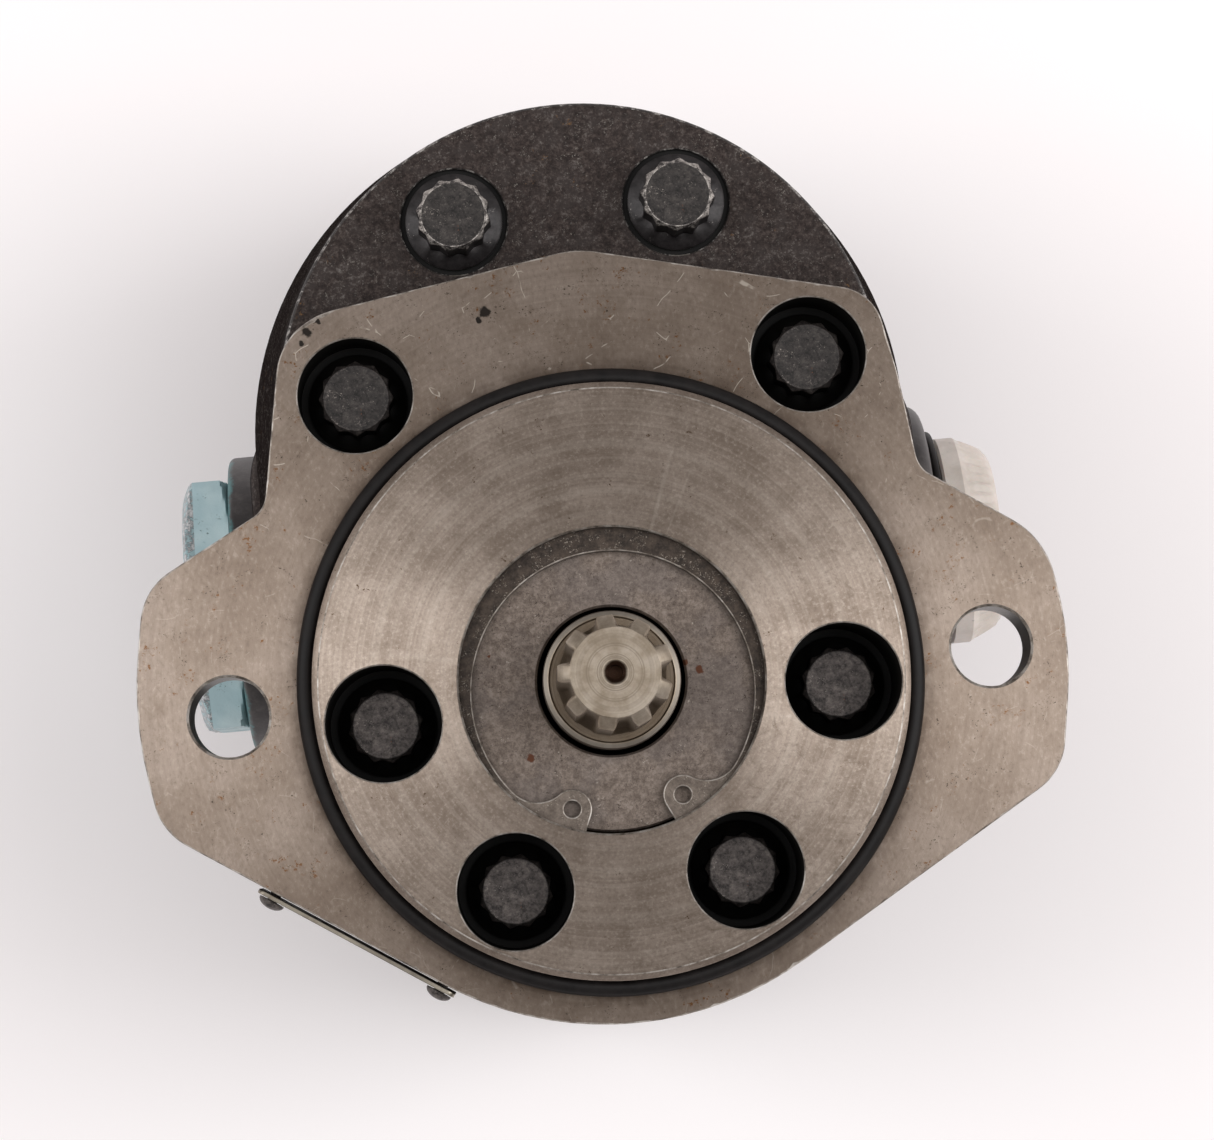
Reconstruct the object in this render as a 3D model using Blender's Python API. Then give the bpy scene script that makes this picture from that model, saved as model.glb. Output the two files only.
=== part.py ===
"""External gear motor with a two-bolt SAE A flange and a nine-tooth splined shaft.

The origin lies on the shaft axis in the rear face. +Z runs up the shaft, +Y points from the
drive gear to the idler gear, and +X points to the port that the ribbed plug closes.
Each function makes one piece, or one family of equal pieces, as the motor comes apart.
"""

import math

import bmesh
import bpy
from mathutils import Matrix

MM = 0.001
GAP = 0.3 * MM  # kept between neighbouring pieces, seated faces included
OVERCUT = 5.0 * MM  # how far a cutter runs past the surface that it opens

# Stack of castings, measured up the shaft from the rear face
REAR_JOINT_Z = 26.2 * MM
FRONT_JOINT_Z = 77.0 * MM
FLANGE_Z = 128.0 * MM
FLANGE_THICKNESS = 10.7 * MM
DECK_Z = FLANGE_Z - FLANGE_THICKNESS
FLANGE_BACK_Z = DECK_Z - 0.4 * MM  # back of the ears, where they stand out past the deck
FLARE_Z = FLANGE_Z - 49.0 * MM
PILOT_HEIGHT = 6.35 * MM
PILOT_Z = FLANGE_Z + PILOT_HEIGHT
SHAFT_END_Z = FLANGE_Z + 31.7 * MM

# Casting outlines
CENTRE_DISTANCE = 39.9 * MM
DECK_RADIUS = 43.3 * MM
BODY_RADIUS = 48.9 * MM
PAD_HALF_WIDTH = 50.4 * MM
PAD_CORNERS_Y = (-10.0, 50.0)  # in millimetres, like the next
PAD_CORNER_RADIUS = 14.0
PAD_INSET = 0.8 * MM
EDGE_CHAMFER = 1.2 * MM
PILOT_RADIUS = 41.275 * MM
PILOT_BEVEL = 0.9 * MM
# Corners of the flange in millimetres, anticlockwise from the foot, each with its radius.
# The casting sits a little off its machined centre, so the two ears differ.
FLANGE_CORNERS = (
    (-2.5, -55.9, 47.4),
    (61.5, -18.3, 9.0),
    (64.6, 0.0, 50.0),
    (62.1, 14.5, 12.0),
    (45.6, 25.8, 4.0),
    (44.1, 38.5, 40.0),
    (41.7, 51.0, 7.0),
    (0.8, 60.8, 14.0),
    (-41.2, 54.1, 10.0),
    (-45.8, 28.3, 4.0),
    (-63.5, 18.9, 9.0),
    (-66.6, 1.0, 55.0),
    (-63.9, -15.0, 9.0),
)
EAR_HOLE_X = 53.19 * MM
EAR_HOLE_RADIUS = 5.556 * MM

# Eight cover bolts, four on an arc round each gear axis
BOLT_ARC_RADIUS = 31.93 * MM
BOLT_ANGLES = (-5.6, -60.2)  # degrees below the drive axis, mirrored to make the rest
BOLT_RADIUS = 3.97 * MM
BOLT_HOLE_RADIUS = BOLT_RADIUS + GAP
BOLT_HEAD_POINT_RADIUS = 5.3 * MM
BOLT_HEAD_VALLEY_RADIUS = 4.75 * MM
BOLT_COLLAR_RADIUS = 6.9 * MM
BOLT_COLLAR_THICKNESS = 1.6 * MM
BOLT_HEAD_HEIGHT = 8.0 * MM
BOLT_SEAT_Z = DECK_Z - 1.0 * MM
BOLT_END_Z = 6.5 * MM
THREAD_DEPTH_Z = 5.0 * MM
COUNTERBORE_RADIUS = 8.05 * MM
SPOT_FACE_RADIUS = 7.6 * MM
POINTS_ON_HEAD = 12
HEAD_BEVEL = 0.7 * MM
DECK_BOLTS = (1, 2)  # these stand on the deck, the others in the flange

# Gears and shafts
TEETH = 12
PRESSURE_ANGLE = math.radians(26)
BACKLASH = 0.36 * MM
ROOT_CLEARANCE = 0.25  # of the module
TIP_RADIUS = CENTRE_DISTANCE / 2 * (1 + 2 / TEETH)
CHAMBER_RADIUS = TIP_RADIUS + GAP
PLATE_THICKNESS = 8.0 * MM
JOURNAL_RADIUS = 11.0 * MM
JOURNAL_CHAMFER = 0.8 * MM
SEAL_JOURNAL_RADIUS = 9.525 * MM
SPLINE_TEETH = 9
SPLINE_PHASE = math.radians(95.5)
SPLINE_TIP_RADIUS = 7.72 * MM
SPLINE_ROOT_RADIUS = 6.1 * MM
SPLINE_TIP_SHARE = 0.20  # half a tooth's width, as a share of the pitch
SPLINE_ROOT_SHARE = 0.32
SPLINE_END_CHAMFER = 1.0 * MM
SHOULDER_Z = FLANGE_Z + 7.0 * MM
SHOULDER_CONE = 1.2 * MM
CENTRE_HOLE_RADIUS = 1.4 * MM
JOURNAL_END_Z = 4.5 * MM

# Bearings and shaft seal
BUSHING_LENGTH = 22.0 * MM
BUSHING_BORE_RADIUS = JOURNAL_RADIUS + 0.1 * MM  # running fit
BUSHING_RADIUS = 13.6 * MM
BEARING_BORE_RADIUS = BUSHING_RADIUS + GAP
SEAL_BORE_RADIUS = 21.1 * MM
SEAL_BORE_FLOOR_Z = FLANGE_Z - 9.8 * MM
SHAFT_HOLE_RADIUS = 10.3 * MM
RING_Z = FLANGE_Z + 2.75 * MM
RING_THICKNESS = 1.6 * MM
RING_GROOVE_RADIUS = 22.3 * MM
RING_RADIUS = RING_GROOVE_RADIUS - GAP
RING_INNER_RADIUS = 19.5 * MM
RING_INNER_OFFSET = 1.6 * MM  # towards the gap, so the ring is widest opposite it
RING_GAP_HALF_WIDTH = 4.9 * MM
RING_TURN = math.radians(2.2)
LUG_RADIUS = 2.75 * MM
LUG_REACH = 21.3 * MM
EYE_RADIUS = 1.15 * MM
EYE_DISTANCE = 18.55 * MM
EYE_ANGLE = math.radians(24.5)
WASHER_THICKNESS = 1.9 * MM
CASE_WALL = 1.2 * MM
CASE_OPENING_RADIUS = 13.6 * MM

# Gear housing: ports and their plugs
PORT_Z = (REAR_JOINT_Z + FRONT_JOINT_Z) / 2
PORT_Y = CENTRE_DISTANCE / 2
RIGHT_BOSS = (21.7 * MM, 53.5 * MM)  # radius, and distance of its face from the middle
LEFT_BOSS = (23.2 * MM, 54.4 * MM)
PORT_RADIUS = 13.5 * MM
PORT_DEPTH = 20.0 * MM
PORT_PASSAGE_RADIUS = 9.5 * MM
PORT_MOUTH_CONE = 1.5 * MM
BOSS_ROOT_X = PAD_HALF_WIDTH - 8.0 * MM
PLUG_STEM_LENGTH = 15.0 * MM
PLUG_NECK_RADIUS = PORT_RADIUS - 1.9 * MM
PLUG_NECK_LENGTH = 2.8 * MM
PLUG_SIDES = 24
HEX_PLUG_ACROSS_FLATS = 38.1 * MM
HEX_PLUG_REACH = 62.0 * MM
HEX_PLUG_BEVEL = 1.4 * MM
RIBBED_PLUG_RADIUS = 16.1 * MM
RIBBED_PLUG_REACH = 63.7 * MM
RIBBED_PLUG_CROWN_RADIUS = 12.7 * MM
RIBBED_PLUG_CONE = 4.4 * MM
GASKET_RADIUS = 17.4 * MM
GASKET_THICKNESS = 1.2 * MM
PLUG_RING_TUBE = 0.85 * MM

# Seals between the castings, and round the pilot
SECTION_SEAL_RADIUS = 25.6 * MM
SECTION_SEAL_WIDTH = 1.7 * MM
SECTION_GROOVE_DEPTH = 2.2 * MM
PRESSURE_SEAL_WIDTH = 1.6 * MM
PRESSURE_GROOVE_DEPTH = 2.0 * MM
PILOT_RING_TUBE = 1.31 * MM
PILOT_RING_RADIUS = 42.25 * MM
PILOT_GROOVE_RADIUS = 40.6 * MM
PILOT_GROOVE_HEIGHT = 3.3 * MM

# Dowels between the castings, one each side of the gear axes
DOWEL_RADIUS = 3.0 * MM
DOWEL_LENGTH = 13.0 * MM
DOWEL_PLACES = ((-38.5 * MM, 10.0 * MM), (38.5 * MM, 30.0 * MM))

# Name plate on the lower left side of the flange
PLATE_START = (-51.0 * MM, -23.7 * MM)
PLATE_END = (-25.3 * MM, -40.8 * MM)
PLATE_HEIGHT = 9.4 * MM
PLATE_SHEET = 0.6 * MM
RIVET_INSET = 2.2 * MM
RIVET_HEAD_RADIUS = 1.9 * MM
RIVET_HEAD_HEIGHT = 1.1 * MM
RIVET_SHANK_RADIUS = 0.8 * MM
RIVET_SHANK_LENGTH = 4.0 * MM

ARC_STEP = math.radians(12)
COARSE_ARC_STEP = math.radians(26)
SMOOTH_ANGLE = math.radians(32)
WELD = 1e-6  # points nearer than this are one point
ROUND = 32  # sides of a large turned surface
MEDIUM_ROUND = 24  # sides of a shaft, a bearing or a port
SMALL_ROUND = 12  # sides of a bolt hole
TUBE_SIDES = 6  # sides of the cord of an O-ring or a spring


# Scene, materials and mesh helpers


def clear_scene():
    for obj in list(bpy.data.objects):
        bpy.data.objects.remove(obj)


def finish(name, colour, roughness, metallic):
    material = bpy.data.materials.new(name)
    material.use_nodes = True
    shader = material.node_tree.nodes["Principled BSDF"]
    shader.inputs["Base Color"].default_value = (*colour, 1)
    shader.inputs["Roughness"].default_value = roughness
    shader.inputs["Metallic"].default_value = metallic
    material.diffuse_color = (*colour, 1)
    return material


def add_piece(name, bm, material, place=(0, 0, 0)):
    """Turns a bmesh, drawn about its own origin, into a smooth-shaded object at place."""
    bmesh.ops.remove_doubles(bm, verts=bm.verts, dist=WELD)
    bmesh.ops.recalc_face_normals(bm, faces=bm.faces)
    mesh = bpy.data.meshes.new(name)
    bm.to_mesh(mesh)
    bm.free()
    mesh.shade_smooth()
    mesh.set_sharp_from_angle(angle=SMOOTH_ANGLE)
    obj = bpy.data.objects.new(name, mesh)
    obj.location = place
    if material:
        mesh.materials.append(material)
    bpy.context.scene.collection.objects.link(obj)
    return obj


def as_helper(obj):
    obj.hide_render = True
    obj.display_type = "WIRE"
    return obj


def combine(target, helper, operation):
    """Adds a Boolean modifier that takes helper away from target, or joins it on."""
    modifier = target.modifiers.new(helper.name, "BOOLEAN")
    modifier.operation = operation
    modifier.solver = "EXACT"
    modifier.object = as_helper(helper)


def cut(target, name, bm, place=(0, 0, 0)):
    combine(target, add_piece(name, bm, None, place), "DIFFERENCE")


def join(target, name, bm, place=(0, 0, 0)):
    combine(target, add_piece(name, bm, None, place), "UNION")


# Outlines and solids


def rounded(corners, arc_step=ARC_STEP):
    """Points of a polygon whose corners (x, y, radius) are rounded off."""
    points = []
    for index, (x, y, radius) in enumerate(corners):
        before = corners[index - 1]
        after = corners[(index + 1) % len(corners)]
        heading_in = math.atan2(y - before[1], x - before[0])
        heading_out = math.atan2(after[1] - y, after[0] - x)
        turn = math.remainder(heading_out - heading_in, math.tau)
        side = math.copysign(1, turn)
        reach = radius * math.tan(abs(turn) / 2)
        centre_x = x - reach * math.cos(heading_in) - side * radius * math.sin(heading_in)
        centre_y = y - reach * math.sin(heading_in) + side * radius * math.cos(heading_in)
        steps = max(2, math.ceil(abs(turn) / arc_step))
        for step in range(steps + 1):
            angle = heading_in + turn * step / steps
            bulge = side * radius
            points.append((centre_x + bulge * math.sin(angle), centre_y - bulge * math.cos(angle)))
    return points


def circle(radius, sides, x=0.0, y=0.0):
    turns = (math.tau * index / sides for index in range(sides))
    return [(x + radius * math.cos(angle), y + radius * math.sin(angle)) for angle in turns]


def stadium(radius):
    """Outline at one distance round the line between the two gear axes."""
    half = ROUND // 2
    lower = [math.pi + math.pi * index / half for index in range(half + 1)]
    upper = [math.pi * index / half for index in range(half + 1)]
    points = [(radius * math.cos(angle), radius * math.sin(angle)) for angle in lower]
    points += [(radius * math.cos(angle), CENTRE_DISTANCE + radius * math.sin(angle)) for angle in upper]
    return points


def figure_eight(radius):
    """Outline of two equal circles round the gear axes, which cross between the gears."""
    waist = math.asin(CENTRE_DISTANCE / 2 / radius)
    steps = ROUND * 5 // 8
    sweep = math.pi + 2 * waist
    points = []
    for centre_y, start in ((0.0, math.pi - waist), (CENTRE_DISTANCE, -waist)):
        for step in range(steps):
            angle = start + sweep * step / steps
            points.append((radius * math.cos(angle), centre_y + radius * math.sin(angle)))
    return points


def loft(bm, rings):
    """Closes a solid through rings of equally many points, with a flat cap at both ends."""
    loops = [[bm.verts.new(point) for point in ring] for ring in rings]
    for lower, upper in zip(loops, loops[1:]):
        for index, vertex in enumerate(lower):
            following = (index + 1) % len(lower)
            bm.faces.new((vertex, lower[following], upper[following], upper[index]))
    bm.faces.new(reversed(loops[0]))
    bm.faces.new(loops[-1])


def prism(bm, outline, low, high):
    loft(bm, [[(x, y, z) for x, y in outline] for z in (low, high)])


def ring_prism(bm, outer, inner, low, high):
    """Extrudes the band between two outlines of equally many points."""
    loops = []
    for outline, z in ((outer, low), (outer, high), (inner, high), (inner, low)):
        loops.append([bm.verts.new((x, y, z)) for x, y in outline])
    for loop, next_loop in zip(loops, loops[1:] + loops[:1]):
        for index in range(len(loop)):
            following = (index + 1) % len(loop)
            bm.faces.new((loop[index], loop[following], next_loop[following], next_loop[index]))


def turn_profile(bm, profile, sides=ROUND, x=0.0, y=0.0):
    """Spins a closed profile of (radius, z) points round the vertical line through (x, y)."""
    vertices = [bm.verts.new((x + radius, y, z)) for radius, z in profile]
    edges = [bm.edges.new((vertices[index - 1], vertices[index])) for index in range(len(vertices))]
    on_axis = [edge for edge in edges if all(abs(vertex.co.x - x) < 1e-9 for vertex in edge.verts)]
    swept = [edge for edge in edges if edge not in on_axis]
    bmesh.ops.spin(
        bm,
        geom=vertices + swept,
        cent=(x, y, 0),
        axis=(0, 0, 1),
        angle=math.tau,
        steps=sides,
        use_merge=True,
    )
    bmesh.ops.delete(bm, geom=on_axis, context="EDGES")
    bmesh.ops.remove_doubles(bm, verts=bm.verts, dist=WELD)


def rod(bm, radius, low, high, x=0.0, y=0.0, sides=SMALL_ROUND):
    prism(bm, circle(radius, sides, x, y), low, high)


def box(bm, low, high):
    outline = ((low[0], low[1]), (high[0], low[1]), (high[0], high[1]), (low[0], high[1]))
    prism(bm, outline, low[2], high[2])


def lay_along_x(bm, direction):
    """Turns a solid drawn up the Z axis so that its top points along +X or -X."""
    turn = Matrix.Rotation(direction * math.pi / 2, 3, "Y")
    bmesh.ops.rotate(bm, verts=bm.verts, cent=(0, 0, 0), matrix=turn)


# Shapes that several pieces share


def bolt_places():
    places = []
    for angle in map(math.radians, BOLT_ANGLES):
        x = BOLT_ARC_RADIUS * math.cos(angle)
        y = BOLT_ARC_RADIUS * math.sin(angle)
        for side in (1, -1):
            places.append((side * x, y))
            places.append((side * x, CENTRE_DISTANCE - y))
    return sorted(places, key=lambda place: (-place[1], place[0]))


def bolt_holes(low, high):
    bm = bmesh.new()
    for x, y in bolt_places():
        rod(bm, BOLT_HOLE_RADIUS, low, high, x, y)
    return bm


def dowel_holes(joint_z):
    bm = bmesh.new()
    for x, y in DOWEL_PLACES:
        rod(bm, DOWEL_RADIUS + GAP, joint_z - DOWEL_LENGTH / 2, joint_z + DOWEL_LENGTH / 2, x, y)
    return bm


def section_groove(joint_z, depth):
    bm = bmesh.new()
    half = SECTION_SEAL_WIDTH / 2 + GAP
    floor, mouth = sorted((joint_z + depth, joint_z - depth))
    outer = stadium(SECTION_SEAL_RADIUS + half)
    inner = stadium(SECTION_SEAL_RADIUS - half)
    ring_prism(bm, outer, inner, floor, mouth)
    return bm


def gear_outline(phase):
    """Involute teeth, with one tooth's centre line at the angle phase."""
    pitch_radius = CENTRE_DISTANCE / 2
    module = 2 * pitch_radius / TEETH
    base_radius = pitch_radius * math.cos(PRESSURE_ANGLE)
    root_radius = pitch_radius - module * (1 + ROOT_CLEARANCE)
    half_tooth = math.pi / (2 * TEETH) - BACKLASH / (4 * pitch_radius)
    involute_at_pitch = math.tan(PRESSURE_ANGLE) - PRESSURE_ANGLE
    flank = [(root_radius, half_tooth + involute_at_pitch)]
    for step in range(4):
        radius = base_radius + (TIP_RADIUS - base_radius) * step / 3
        roll = math.acos(base_radius / radius)
        flank.append((radius, half_tooth + involute_at_pitch - math.tan(roll) + roll))
    points = []
    for tooth in range(TEETH):
        middle = phase + math.tau * tooth / TEETH
        side = [(radius, middle - angle) for radius, angle in flank]
        side += [(radius, middle + angle) for radius, angle in reversed(flank)]
        points += [(radius * math.cos(angle), radius * math.sin(angle)) for radius, angle in side]
    return points


def gear_width_limits():
    inset = PLATE_THICKNESS + 2 * GAP
    return REAR_JOINT_Z + inset, FRONT_JOINT_Z - inset


def spline_outline(swell=0.0):
    """Nine straight-sided teeth whose width is half the pitch at mid height."""
    pitch = math.tau / SPLINE_TEETH
    points = []
    for tooth in range(SPLINE_TEETH):
        middle = SPLINE_PHASE + pitch * tooth
        for radius, share in (
            (SPLINE_ROOT_RADIUS, -SPLINE_ROOT_SHARE),
            (SPLINE_TIP_RADIUS, -SPLINE_TIP_SHARE),
            (SPLINE_TIP_RADIUS, SPLINE_TIP_SHARE),
            (SPLINE_ROOT_RADIUS, SPLINE_ROOT_SHARE),
        ):
            angle = middle + share * pitch
            points.append(((radius + swell) * math.cos(angle), (radius + swell) * math.sin(angle)))
    return points


# Castings


def make_front_cover(iron):
    """Flange, pilot and front bearing housing in one casting."""
    bm = bmesh.new()
    rings = (
        (BODY_RADIUS, FRONT_JOINT_Z + GAP),
        (BODY_RADIUS, FLARE_Z),
        (DECK_RADIUS, DECK_Z),
    )
    loft(bm, [[(x, y, z) for x, y in stadium(radius)] for radius, z in rings])
    cover = add_piece("front_cover", bm, iron)

    bm = bmesh.new()
    outline = [(x * MM, y * MM) for x, y in rounded(FLANGE_CORNERS)]
    prism(bm, outline, FLANGE_BACK_Z, FLANGE_Z)
    join(cover, "flange_plate", bm)

    bm = bmesh.new()
    root = FLANGE_Z - 2 * MM
    shoulder = FLANGE_Z + PILOT_GROOVE_HEIGHT
    pilot = (
        (0, root),
        (PILOT_GROOVE_RADIUS, root),
        (PILOT_GROOVE_RADIUS, shoulder),
        (PILOT_RADIUS, shoulder),
        (PILOT_RADIUS, PILOT_Z - PILOT_BEVEL),
        (PILOT_RADIUS - PILOT_BEVEL, PILOT_Z),
        (0, PILOT_Z),
    )
    turn_profile(bm, pilot)
    join(cover, "pilot", bm)

    cut_seal_bore(cover)
    cut_front_bearings(cover)
    cut(cover, "front_bolt_holes", bolt_holes(FRONT_JOINT_Z - OVERCUT, PILOT_Z + OVERCUT))
    cut_bolt_seats(cover)
    cut(cover, "front_dowel_holes", dowel_holes(FRONT_JOINT_Z))

    bm = bmesh.new()
    for side in (1, -1):
        x = side * EAR_HOLE_X
        rod(bm, EAR_HOLE_RADIUS, DECK_Z - OVERCUT, PILOT_Z, x, sides=MEDIUM_ROUND)
    cut(cover, "ear_holes", bm)
    cut(cover, "rivet_holes", rivet_holes())


def cut_seal_bore(cover):
    bm = bmesh.new()
    groove_low = RING_Z - GAP
    groove_high = RING_Z + RING_THICKNESS + GAP
    above = PILOT_Z + OVERCUT
    bore = (
        (0, SEAL_BORE_FLOOR_Z),
        (SEAL_BORE_RADIUS, SEAL_BORE_FLOOR_Z),
        (SEAL_BORE_RADIUS, groove_low),
        (RING_GROOVE_RADIUS, groove_low),
        (RING_GROOVE_RADIUS, groove_high),
        (SEAL_BORE_RADIUS, groove_high),
        (SEAL_BORE_RADIUS, above),
        (0, above),
    )
    turn_profile(bm, bore)
    cut(cover, "seal_bore", bm)


def cut_front_bearings(cover):
    """A stepped bore for the drive shaft, and a blind bore for the idler."""
    bm = bmesh.new()
    below = FRONT_JOINT_Z - OVERCUT
    floor = FRONT_JOINT_Z + BUSHING_LENGTH + 2 * GAP
    cone_height = 3 * MM
    above = SEAL_BORE_FLOOR_Z + OVERCUT
    drive_bore = (
        (0, below),
        (BEARING_BORE_RADIUS, below),
        (BEARING_BORE_RADIUS, floor),
        (SHAFT_HOLE_RADIUS, floor + cone_height),
        (SHAFT_HOLE_RADIUS, above),
        (0, above),
    )
    turn_profile(bm, drive_bore)
    rod(bm, BEARING_BORE_RADIUS, below, floor, 0, CENTRE_DISTANCE, MEDIUM_ROUND)
    cut(cover, "front_bearing_bores", bm)


def cut_bolt_seats(cover):
    bm = bmesh.new()
    for number, (x, y) in enumerate(bolt_places(), 1):
        radius = SPOT_FACE_RADIUS if number in DECK_BOLTS else COUNTERBORE_RADIUS
        rod(bm, radius, BOLT_SEAT_Z, PILOT_Z + OVERCUT, x, y, MEDIUM_ROUND)
    cut(cover, "bolt_seats", bm)


def make_gear_housing(iron):
    """Middle casting, with the gear chamber and a port boss on each side."""
    low = REAR_JOINT_Z + GAP
    bm = bmesh.new()
    prism(bm, stadium(BODY_RADIUS), low, FRONT_JOINT_Z)
    housing = add_piece("gear_housing", bm, iron)

    bm = bmesh.new()
    half_pad = PAD_HALF_WIDTH / MM
    right = [(half_pad, y, PAD_CORNER_RADIUS) for y in PAD_CORNERS_Y]
    left = [(-half_pad, y, PAD_CORNER_RADIUS) for y in reversed(PAD_CORNERS_Y)]
    outline = [(x * MM, y * MM) for x, y in rounded(right + left)]
    prism(bm, outline, low + PAD_INSET, FRONT_JOINT_Z - PAD_INSET)
    join(housing, "port_pads", bm)

    for side, name, boss in ((1, "right_boss", RIGHT_BOSS), (-1, "left_boss", LEFT_BOSS)):
        radius, face_x = boss
        bm = bmesh.new()
        profile = (
            (0, BOSS_ROOT_X),
            (radius, BOSS_ROOT_X),
            (radius, face_x - 2 * EDGE_CHAMFER),
            (radius - EDGE_CHAMFER, face_x),
            (0, face_x),
        )
        turn_profile(bm, profile)
        lay_along_x(bm, side)
        join(housing, name, bm, (0, PORT_Y, PORT_Z))

    below = REAR_JOINT_Z - OVERCUT
    above = FRONT_JOINT_Z + OVERCUT
    bm = bmesh.new()
    prism(bm, figure_eight(CHAMBER_RADIUS), below, above)
    cut(housing, "gear_chamber", bm)

    for side, name, boss in ((1, "right_port", RIGHT_BOSS), (-1, "left_port", LEFT_BOSS)):
        face_x = boss[1]
        bm = bmesh.new()
        inner = 8 * MM
        port_end = face_x - PORT_DEPTH
        outside = face_x + OVERCUT
        profile = (
            (0, inner),
            (PORT_PASSAGE_RADIUS, inner),
            (PORT_PASSAGE_RADIUS, port_end - 2 * MM),
            (PORT_RADIUS, port_end),
            (PORT_RADIUS, face_x - 1.7 * PORT_MOUTH_CONE),
            (PORT_RADIUS + PORT_MOUTH_CONE, face_x),
            (PORT_RADIUS + PORT_MOUTH_CONE, outside),
            (0, outside),
        )
        turn_profile(bm, profile, MEDIUM_ROUND)
        lay_along_x(bm, side)
        cut(housing, name, bm, (0, PORT_Y, PORT_Z))

    cut(housing, "housing_bolt_holes", bolt_holes(below, above))
    cut(housing, "housing_front_groove", section_groove(FRONT_JOINT_Z, SECTION_GROOVE_DEPTH))
    cut(housing, "housing_rear_groove", section_groove(REAR_JOINT_Z, SECTION_GROOVE_DEPTH + GAP))
    cut(housing, "housing_front_dowel_holes", dowel_holes(FRONT_JOINT_Z))
    cut(housing, "housing_rear_dowel_holes", dowel_holes(REAR_JOINT_Z))


def make_rear_cover(iron):
    """Blind end casting, which carries the rear bushings and the bolt threads."""
    bm = bmesh.new()
    rings = (
        (BODY_RADIUS - 2 * EDGE_CHAMFER, 0.0),
        (BODY_RADIUS, 2 * EDGE_CHAMFER),
        (BODY_RADIUS, REAR_JOINT_Z),
    )
    loft(bm, [[(x, y, z) for x, y in stadium(radius)] for radius, z in rings])
    cover = add_piece("rear_cover", bm, iron)

    above = REAR_JOINT_Z + OVERCUT
    floor = REAR_JOINT_Z - BUSHING_LENGTH - 2 * GAP
    bm = bmesh.new()
    for y in (0, CENTRE_DISTANCE):
        rod(bm, BEARING_BORE_RADIUS, floor, above, 0, y, MEDIUM_ROUND)
    cut(cover, "rear_bearing_bores", bm)
    cut(cover, "bolt_threads", bolt_holes(THREAD_DEPTH_Z, above))
    cut(cover, "rear_dowel_holes", dowel_holes(REAR_JOINT_Z))


# Rotating pieces


def make_drive_gear_shaft(steel):
    """Drive gear, both journals, the seal journal and the splined end in one forging."""
    low, high = gear_width_limits()
    bm = bmesh.new()
    prism(bm, gear_outline(math.pi / 2), low, high)
    shaft = add_piece("drive_gear_shaft", bm, steel)

    bm = bmesh.new()
    step_z = FRONT_JOINT_Z + BUSHING_LENGTH + GAP
    cone_end = SHOULDER_Z + SHOULDER_CONE
    core_radius = SPLINE_ROOT_RADIUS - 0.3 * MM
    core_end = cone_end + 2 * MM
    profile = (
        (0, JOURNAL_END_Z),
        (JOURNAL_RADIUS - JOURNAL_CHAMFER, JOURNAL_END_Z),
        (JOURNAL_RADIUS, JOURNAL_END_Z + JOURNAL_CHAMFER),
        (JOURNAL_RADIUS, step_z - JOURNAL_CHAMFER),
        (SEAL_JOURNAL_RADIUS, step_z + JOURNAL_CHAMFER),
        (SEAL_JOURNAL_RADIUS, SHOULDER_Z),
        (SPLINE_TIP_RADIUS + 0.3 * MM, cone_end),
        (core_radius, cone_end),
        (core_radius, core_end),
        (0, core_end),
    )
    turn_profile(bm, profile, MEDIUM_ROUND)
    join(shaft, "shaft_body", bm)

    bm = bmesh.new()
    rings = (
        (0.0, SHOULDER_Z - 2 * MM),
        (0.0, SHAFT_END_Z - SPLINE_END_CHAMFER),
        (-SPLINE_END_CHAMFER, SHAFT_END_Z),
    )
    loft(bm, [[(x, y, z) for x, y in spline_outline(swell)] for swell, z in rings])
    join(shaft, "spline", bm)

    bm = bmesh.new()
    cone = 0.6 * MM
    centre_hole = (
        (0, SHAFT_END_Z - 4 * MM),
        (CENTRE_HOLE_RADIUS, SHAFT_END_Z - 3.2 * MM),
        (CENTRE_HOLE_RADIUS, SHAFT_END_Z - cone),
        (CENTRE_HOLE_RADIUS + 2 * cone, SHAFT_END_Z + cone),
        (0, SHAFT_END_Z + cone),
    )
    turn_profile(bm, centre_hole, SMALL_ROUND)
    cut(shaft, "centre_hole", bm)


def make_idler_gear_shaft(steel):
    """Idler gear with its two journals, drawn about its own axis."""
    low, high = gear_width_limits()
    place = (0, CENTRE_DISTANCE, 0)
    bm = bmesh.new()
    prism(bm, gear_outline(math.pi / 2 + math.pi / TEETH), low, high)
    shaft = add_piece("idler_gear_shaft", bm, steel, place)
    bm = bmesh.new()
    end = FRONT_JOINT_Z + BUSHING_LENGTH
    profile = (
        (0, JOURNAL_END_Z),
        (JOURNAL_RADIUS - JOURNAL_CHAMFER, JOURNAL_END_Z),
        (JOURNAL_RADIUS, JOURNAL_END_Z + JOURNAL_CHAMFER),
        (JOURNAL_RADIUS, end - JOURNAL_CHAMFER),
        (JOURNAL_RADIUS - JOURNAL_CHAMFER, end),
        (0, end),
    )
    turn_profile(bm, profile, MEDIUM_ROUND)
    join(shaft, "idler_body", bm, place)


# Bearings, pressure plates and inner seals


def make_bushings(bronze):
    outer = circle(BUSHING_RADIUS, MEDIUM_ROUND)
    inner = circle(BUSHING_BORE_RADIUS, MEDIUM_ROUND)
    lows = {"rear": REAR_JOINT_Z - BUSHING_LENGTH - GAP, "front": FRONT_JOINT_Z + GAP}
    for end, low in lows.items():
        for gear, y in (("drive", 0), ("idler", CENTRE_DISTANCE)):
            bm = bmesh.new()
            ring_prism(bm, outer, inner, low, low + BUSHING_LENGTH)
            add_piece(f"{end}_{gear}_bushing", bm, bronze, (0, y, 0))


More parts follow.
